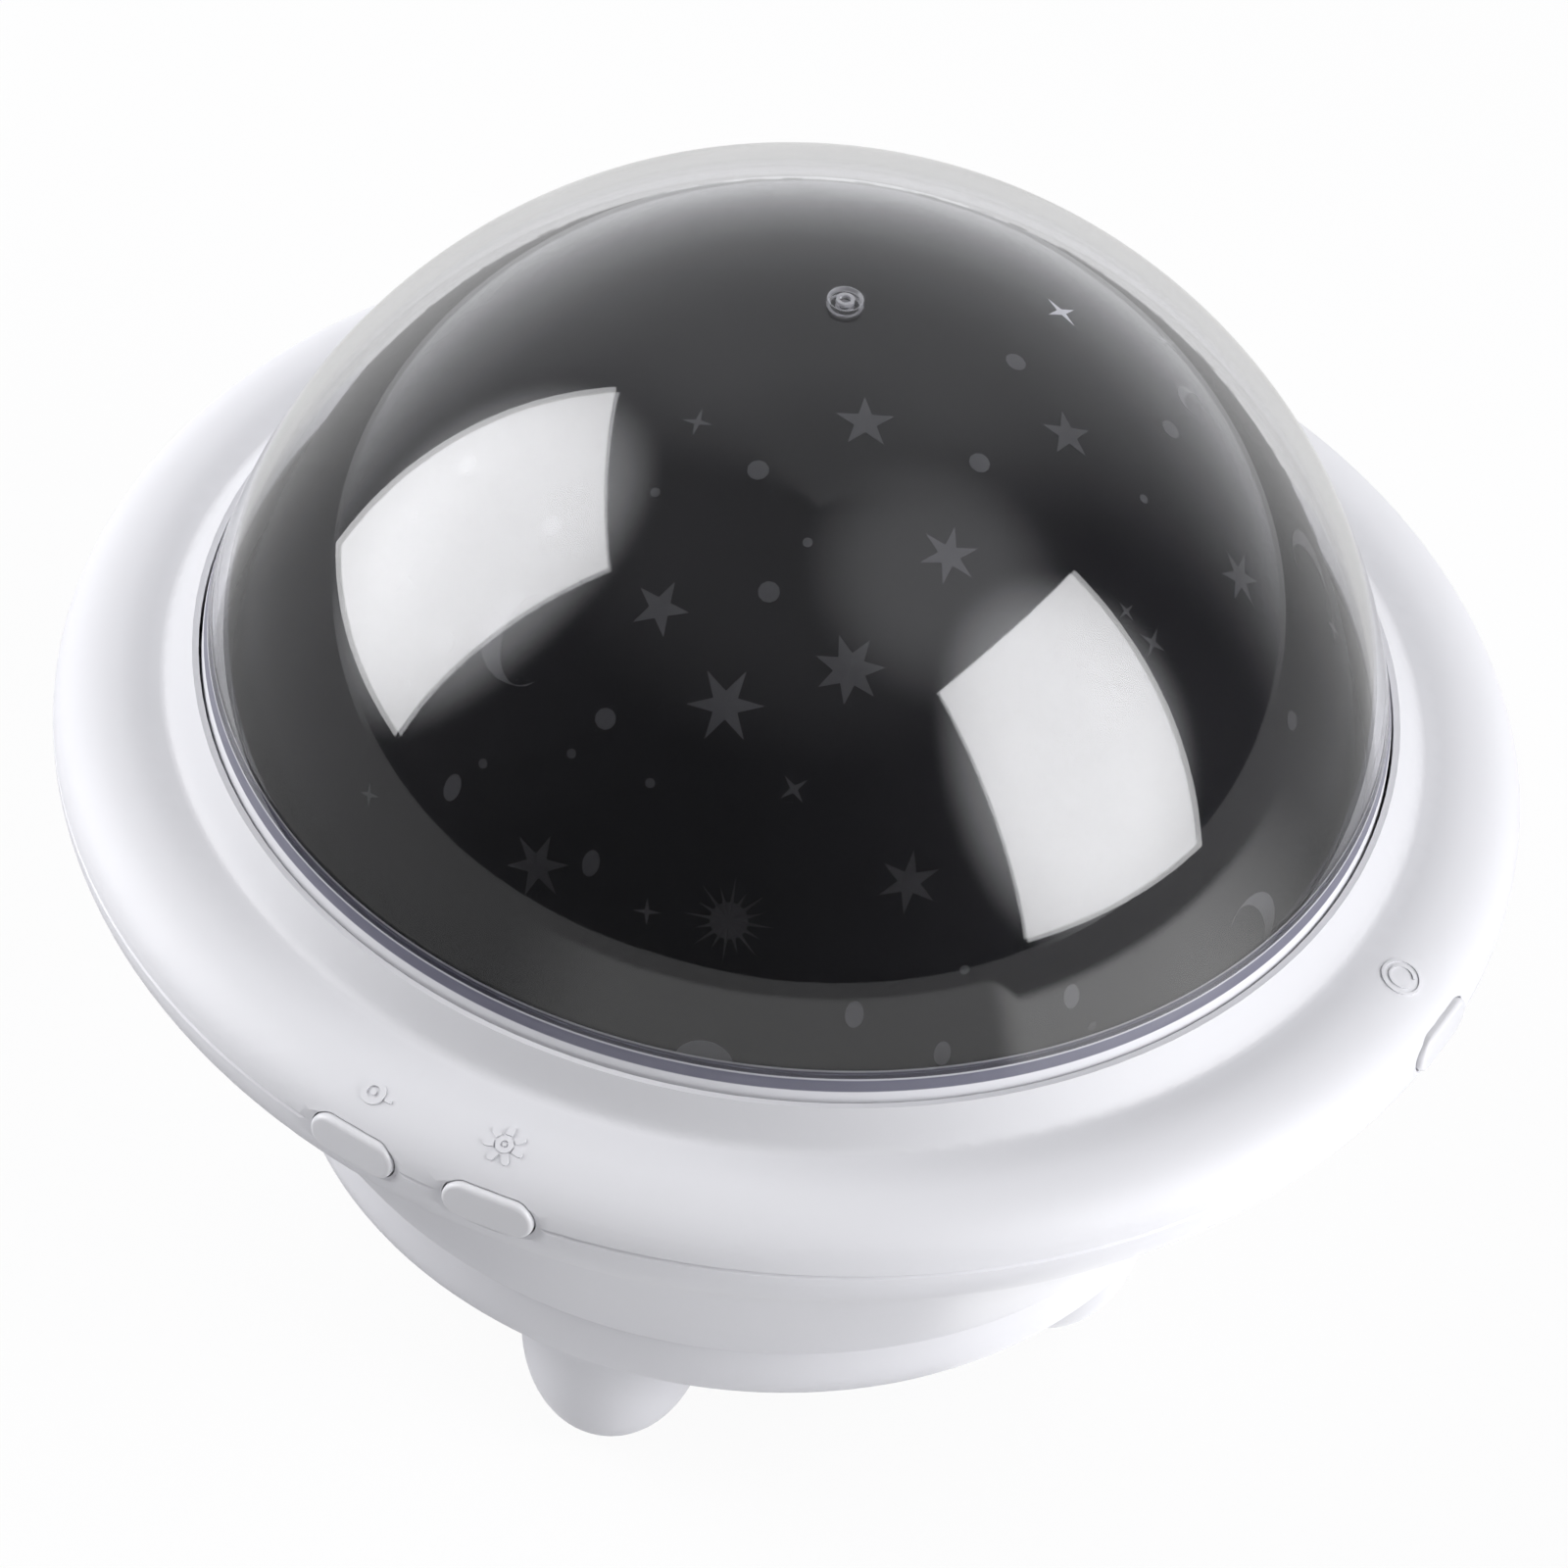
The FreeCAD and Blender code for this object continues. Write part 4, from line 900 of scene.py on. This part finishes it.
motifKinds = {
    "dot": discShape(10),
    "oval": discShape(12, 0.70, 1.10),
    "halfDisc": halfDiscShape(16),
    "moon": moonShape(math.radians(125), 0.66, 14),
    "star4": fanShape(starOutline(4, 0.24)),
    "star5": fanShape(starOutline(5, 0.38)),
    "star6": fanShape(starOutline(6, 0.36)),
    "star7": fanShape(starOutline(7, 0.46)),
    "sun": fanShape(sunOutline(16, 0.43, 0.78, 5)),
}


# Beyond the listed ones, more are scattered over the side that the photograph doesn't show
def allMotifs(shape, dome):
    chance = np.random.RandomState(shape["seed"])
    elevation = math.radians(cameraSetup["elevation"])
    viewer = spot(math.cos(elevation), cameraSetup["azimuth"], math.sin(elevation))
    domeRadius = dome["radius"]
    placed = []
    for radius, turn, kind, reach, spin, tone in motifs:
        height = math.sqrt(domeRadius ** 2 - (radius * mm) ** 2)
        # Painted light, paler towards the top
        lighter = shape["paintedTopLight"] - shape["paintedLightFall"] * (radius / shape["paintedLightReach"]) ** 2
        placed.append((spot(radius * mm, turn, height) / domeRadius, kind, reach * mm, spin, tone * lighter))
    listed = len(placed)
    for number in range(shape["tries"]):
        if len(placed) - listed >= shape["stars"] + shape["dots"]:
            break
        height = chance.uniform(shape["lowest"] - dome["centreZ"], shape["highest"] * domeRadius) / domeRadius
        normal = spot(math.sqrt(1 - height ** 2), chance.uniform(-180, 180), height)
        if len(placed) - listed < shape["stars"]:
            kind = str(chance.choice(shape["starKinds"]))
            reach = chance.uniform(*shape["starReach"]) * mm
        else:
            kind = str(chance.choice(shape["dotKinds"]))
            reach = float(chance.choice(shape["dotReach"])) * mm
        spin = chance.uniform(0, 360)
        tone = chance.uniform(*shape["tones"])
        low = normal.z * domeRadius + dome["centreZ"] - reach < dome["bottomZ"] + shape["edgeGap"]
        close = any(
            (normal - other[0]).length * domeRadius < reach + other[2] + shape["spacing"] for other in placed
        )
        if normal.dot(viewer) < shape["seenFrom"] and not low and not close:
            placed.append((normal, kind, reach, spin, tone))
    return placed


def printTree(weld):
    sizes = ("Dome Radius", "Centre Height", "Lift", "Thickness")
    inputs = [("Shapes", "Collection")] + [(name, "Float") for name in sizes] + [("Print", "Material")]
    tree, book = newTree("printOnDome", inputs)
    given = book.add("NodeGroupInput")

    def stored(kind, name):
        return book.add("GeometryNodeInputNamedAttribute", {"data_type": kind}, {"Name": name})

    def vector(operation, sockets):
        return book.add("ShaderNodeVectorMath", {"operation": operation}, sockets)

    shapes = book.add(
        "GeometryNodeCollectionInfo",
        {},
        {"Collection": book.other(given, "Shapes"), "Separate Children": True, "Reset Children": True},
    )
    laid = book.add(
        "GeometryNodeInstanceOnPoints",
        {},
        {
            "Points": given,
            "Instance": shapes,
            "Pick Instance": True,
            "Instance Index": stored("INT", "kind"),
            "Rotation": stored("FLOAT_VECTOR", "turn"),
            "Scale": stored("FLOAT", "reach"),
        },
    )
    loose = book.add("GeometryNodeRealizeInstances", {}, {"Geometry": laid})
    centre = book.add("ShaderNodeCombineXYZ", {}, {"Z": book.other(given, "Centre Height")})
    place = book.add("GeometryNodeInputPosition")
    outward = vector("NORMALIZE", {0: vector("SUBTRACT", {0: place, 1: centre})})
    radius = book.other(given, "Dome Radius") + book.other(given, "Lift")
    onDome = vector("ADD", {0: vector("SCALE", {0: outward, "Scale": radius}), 1: centre})
    curved = book.add("GeometryNodeSetPosition", {}, {"Geometry": loose, "Position": onDome})
    raised = book.add(
        "GeometryNodeExtrudeMesh",
        {"mode": "FACES"},
        {
            "Mesh": curved,
            "Offset": outward,
            "Offset Scale": book.other(given, "Thickness"),
            "Individual": False,
        },
    )
    under = book.add("GeometryNodeFlipFaces", {}, {"Mesh": curved})
    joined = book.add("GeometryNodeJoinGeometry", {}, {"Geometry": [raised, under]})
    closed = book.add("GeometryNodeMergeByDistance", {}, {"Geometry": joined, "Distance": weld})
    whole = book.add("GeometryNodeRealizeInstances", {}, {"Geometry": closed})
    coloured = book.add(
        "GeometryNodeSetMaterial", {}, {"Geometry": whole, "Material": book.other(given, "Print")}
    )
    book.add("NodeGroupOutput", {}, {"Geometry": coloured})
    return tree


def setInputs(modifier, values):
    for item in modifier.node_group.interface.items_tree:
        if item.item_type == "SOCKET" and item.in_out == "INPUT" and item.name in values:
            modifier[item.identifier] = values[item.name]


def plainCopy(source, name):
    shown = source.evaluated_get(bpy.context.evaluated_depsgraph_get())
    mesh = bpy.data.meshes.new_from_object(shown)
    mesh.name = name
    piece = bpy.data.objects.new(name, mesh)
    scene.collection.objects.link(piece)
    bpy.data.objects.remove(source)
    return piece


# The print's colour times its tone, which carries painted light as well as the print's own shade
def printTone(book, place, colour):
    tone = book.add("ShaderNodeAttribute", {"attribute_name": "tone"}, out="Fac")
    return book.blend(1.0, colour, tone, "MULTIPLY")


def makePrint(shape, dome):
    kinds = sorted(motifKinds)
    shelf = bpy.data.collections.new("motifShapes")
    for number, kind in enumerate(kinds):
        flat, faces = motifKinds[kind]
        mesh = bpy.data.meshes.new("motif" + kind)
        mesh.from_pydata([(x, y, 0.0) for x, y in flat], [], faces)
        shelf.objects.link(bpy.data.objects.new("motif%02d" % number, mesh))
    placed = allMotifs(shape, dome)
    points = bpy.data.meshes.new("motifPoints")
    centre = Vector((0, 0, dome["centreZ"]))
    points.from_pydata([centre + motif[0] * dome["radius"] for motif in placed], [], [])
    for name, kind in (("turn", "FLOAT_VECTOR"), ("reach", "FLOAT"), ("tone", "FLOAT"), ("kind", "INT")):
        points.attributes.new(name, kind, "POINT")
    for number, (normal, kind, reach, spin, tone) in enumerate(placed):
        right = Vector((-normal.y, normal.x, 0)).normalized()
        axes = Matrix((right, normal.cross(right), normal)).transposed()
        turned = axes @ Matrix.Rotation(math.radians(spin), 3, "Z")
        points.attributes["turn"].data[number].vector = turned.to_euler()
        points.attributes["reach"].data[number].value = reach
        points.attributes["tone"].data[number].value = tone
        points.attributes["kind"].data[number].value = kinds.index(kind)
    holder = bpy.data.objects.new("motifHolder", points)
    scene.collection.objects.link(holder)
    modifier = holder.modifiers.new("print", "NODES")
    modifier.node_group = printTree(shape["weld"])
    setInputs(
        modifier,
        {
            "Shapes": shelf,
            "Dome Radius": dome["radius"],
            "Centre Height": dome["centreZ"],
            "Lift": shape["lift"],
            "Thickness": shape["thickness"],
            "Print": surfaceMaterial(dict(motifLook, extra=printTone)),
        },
    )
    piece = plainCopy(holder, "starPrint")
    for thing in list(shelf.objects):
        bpy.data.objects.remove(thing)
    bpy.data.collections.remove(shelf)
    return piece


starPrint = makePrint(motifShape, starDomeShape)
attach(starPrint, "turntable")
print("print laid on the dome:", len(starPrint.data.polygons), "faces")


# Raised signs beside the buttons, laid on the body's slope

signShape = {
    "height": 0.20 * mm,
    "sink": 0.08 * mm,
    "castFrom": 120 * mm,  # heights that each point is dropped from onto the body
    "castAbove": 3 * mm,
    "sharpAngle": 40,
}
signs = [
    {"name": "turnSign", "azimuth": -57.5, "radius": 85.6 * mm, "kind": "turn"},
    {"name": "sunSign", "azimuth": -45.8, "radius": 84.6 * mm, "kind": "sun"},
    {"name": "powerSign", "azimuth": 39.4, "radius": 83.5 * mm, "kind": "ring"},
]


# The signs' strips and rays are drawn flat, in mm and degrees
def arcStrip(inner, outer, start, end, steps):
    vertices = []
    whole = end - start == 360
    for step in range(steps if whole else steps + 1):
        angle = math.radians(start + (end - start) * step / steps)
        vertices += [(reach * math.cos(angle), reach * math.sin(angle)) for reach in (inner, outer)]
    faces = []
    for step in range(steps):
        base, after = 2 * step, (2 * step + 2) % len(vertices)
        faces.append((base, base + 1, after + 1, after))
    return vertices, faces


def rayShape(angle, start, end, width, steps=4):
    turn = math.radians(angle)
    half = width / 2
    outline = [(start, -half), (end - half, -half)]
    for step in range(1, steps):
        bend = -math.pi / 2 + math.pi * step / steps
        outline.append((end - half + half * math.cos(bend), half * math.sin(bend)))
    outline += [(end - half, half), (start, half)]
    vertices = []
    for ahead, aside in outline:
        x = ahead * math.cos(turn) - aside * math.sin(turn)
        y = ahead * math.sin(turn) + aside * math.cos(turn)
        vertices.append((x, y))
    return vertices, [tuple(range(len(vertices)))]


sunRays = 7
signParts = {
    "turn": [arcStrip(0.85, 1.55, 0, 360, 32), discShape(12, 0.36, 0.36), rayShape(0, 1.75, 2.7, 0.55)],
    "sun": [arcStrip(0.5, 1.1, 0, 360, 28), discShape(10, 0.26, 0.26)]
    + [rayShape(90 + 360 / sunRays * number, 1.3, 2.65, 0.85) for number in range(sunRays)],
    "ring": [arcStrip(2.3, 2.62, 0, 360, 40), arcStrip(1.45, 1.7, -60, 240, 30)],
}


def makeSign(sign, shape, ground):
    start = spot(sign["radius"], sign["azimuth"], shape["castFrom"])
    foot, normal = ground.ray_cast(start, Vector((0, 0, -1)))[:2]
    across = spot(1, sign["azimuth"] + 90, 0)
    normal = (normal - across * normal.dot(across)).normalized()
    up = normal.cross(across)
    vertices = []
    faces = []
    for flat, flatFaces in signParts[sign["kind"]]:
        base = len(vertices)
        count = len(flat)
        for x, y in flat:
            above = foot + across * x * mm + up * y * mm + normal * shape["castAbove"]
            met = ground.ray_cast(above, -normal)[0]
            vertices.append(met + normal * shape["height"])
        for number in range(count):
            vertices.append(vertices[base + number] - normal * (shape["height"] + shape["sink"]))
        edges = {(face[n], face[(n + 1) % len(face)]) for face in flatFaces for n in range(len(face))}
        faces += [tuple(base + corner for corner in face) for face in flatFaces]
        faces += [tuple(base + count + corner for corner in reversed(face)) for face in flatFaces]
        for first, second in sorted(edges):
            if (second, first) not in edges:
                faces.append((base + second, base + first, base + count + first, base + count + second))
    piece = newPiece(sign["name"], vertices, faces, shellWhite)
    piece.data.set_sharp_from_angle(angle=math.radians(shape["sharpAngle"]))
    return piece


shellMesh = cadNodes["upper_shell"].data
ground = BVHTree.FromPolygons(
    [vertex.co for vertex in shellMesh.vertices], [tuple(face.vertices) for face in shellMesh.polygons]
)
for sign in signs:
    piece = makeSign(sign, signShape, ground)
    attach(piece, "body")
print("signs made")


# Inner pieces

# Painted shade for the screws' cross recesses
recessShade = {"screwCircle": 30 * mm, "halfWidth": 0.32 * mm, "halfLength": 1.5 * mm, "shade": grey(0.03)}
lacquer = {
    "trackScale": 420.0,
    "trackWidth": 0.07,  # widths and reaches in cells
    "track": (0.06, 0.26, 0.10, 1.0),
    "padScale": 300.0,
    "padScatter": 0.6,
    "padReach": 0.22,
    "pad": (0.62, 0.62, 0.60, 1.0),
}


# Four screws stand under the base, on its two axes, and each head has its cross recess painted in as dark
# shade
def crossRecess(book, place, colour):
    x = book.add("ShaderNodeSeparateXYZ", {}, {0: place}, out="X")
    y = book.other(x, "Y")
    sideways = x.maths("ABSOLUTE").maths("GREATER_THAN", y.maths("ABSOLUTE"))
    across = x + sideways * (x.maths("ABSOLUTE") - recessShade["screwCircle"] - x)
    along = y.maths("ABSOLUTE") - recessShade["screwCircle"]
    along = along + sideways * (y - along)
    across, along = across.maths("ABSOLUTE"), along.maths("ABSOLUTE")
    narrow = across.maths("MINIMUM", along).maths("LESS_THAN", recessShade["halfWidth"])
    short = across.maths("MAXIMUM", along).maths("LESS_THAN", recessShade["halfLength"])
    return book.blend(narrow * short, colour, recessShade["shade"])


# Copper tracks under green lacquer, with tinned pads
def boardTracks(book, place, colour):
    cells = book.add(
        "ShaderNodeTexVoronoi",
        {"feature": "DISTANCE_TO_EDGE"},
        {"Vector": place, "Scale": lacquer["trackScale"]},
    )
    dots = book.add(
        "ShaderNodeTexVoronoi",
        {},
        {"Vector": place, "Scale": lacquer["padScale"], "Randomness": lacquer["padScatter"]},
    )
    tracked = book.blend(cells.maths("LESS_THAN", lacquer["trackWidth"]), colour, lacquer["track"])
    return book.blend(dots.maths("LESS_THAN", lacquer["padReach"]), tracked, lacquer["pad"])


innerLooks = {
    "white": {"name": "innerWhitePlastic", "colour": (0.74, 0.74, 0.72), "rough": 0.55},
    "chassisBlack": {
        "name": "innerBlackPlastic",
        "colour": (0.028, 0.028, 0.031),
        "rough": 0.5,
        "drift": 0.12,
    },
    "turntableBlack": {
        "name": "turntablePlastic",
        "colour": (0.026, 0.026, 0.029),
        "rough": 0.38,
        "drift": 0.1,
    },
    "washer": {"name": "washerPlastic", "colour": (0.70, 0.70, 0.66), "rough": 0.35},
    "gear": {"name": "gearPlastic", "colour": (0.80, 0.79, 0.74), "rough": 0.4},
    "board": {
        "name": "circuitBoard",
        "colour": (0.03, 0.16, 0.07),
        "rough": 0.35,
        "drift": 0.15,
        "extra": boardTracks,
    },
    "dark": {"name": "componentBlack", "colour": (0.03, 0.03, 0.033), "rough": 0.5, "drift": 0.1},
    "motor": {
        "name": "motorCase",
        "colour": (0.55, 0.56, 0.58),
        "rough": 0.32,
        "metal": 1.0,
        "drift": 0.06,
        "grainSize": 0.2 * mm,
    },
    "steel": {"name": "platedSteel", "colour": (0.62, 0.62, 0.64), "rough": 0.28, "metal": 1.0},
    "baseScrew": {
        "name": "screwSteel",
        "colour": (0.60, 0.60, 0.62),
        "rough": 0.3,
        "metal": 1.0,
        "extra": crossRecess,
    },
    "lamp": {"name": "lampLens", "colour": (0.85, 0.78, 0.45), "rough": 0.2},
    "pad": {
        "name": "padRubber",
        "colour": (0.42, 0.42, 0.43),
        "rough": 0.75,
        "drift": 0.06,
        "grainDepth": 0.06 * mm,
    },
}
screwNodes = ["socket_screws", "board_screws", "lamp_post_screws", "motor_screws", "chassis_screws",
              "body_screws"]
innerNodes = {
    "white": ["lamp_post"],
    "chassisBlack": ["chassis"],
    "turntableBlack": ["turntable"],
    "washer": ["thrust_washer"],
    "gear": ["drive_pinion"],
    "board": ["led_board", "main_board", "socket_board"] + [name + "_key_board" for name in buttonNames],
    "dark": ["board_parts"] + [name + end for name in buttonNames for end in ("_switch", "_plunger")],
    "motor": ["motor"],
    "steel": ["motor_shaft", "power_socket"] + screwNodes,
    "baseScrew": ["base_screws"],
    "lamp": ["leds"],
    "pad": ["foot_pads"],
}
for kind, names in innerNodes.items():
    material = surfaceMaterial(innerLooks[kind])
    for name in names:
        shadeNode(name, material)
print("inner pieces finished")
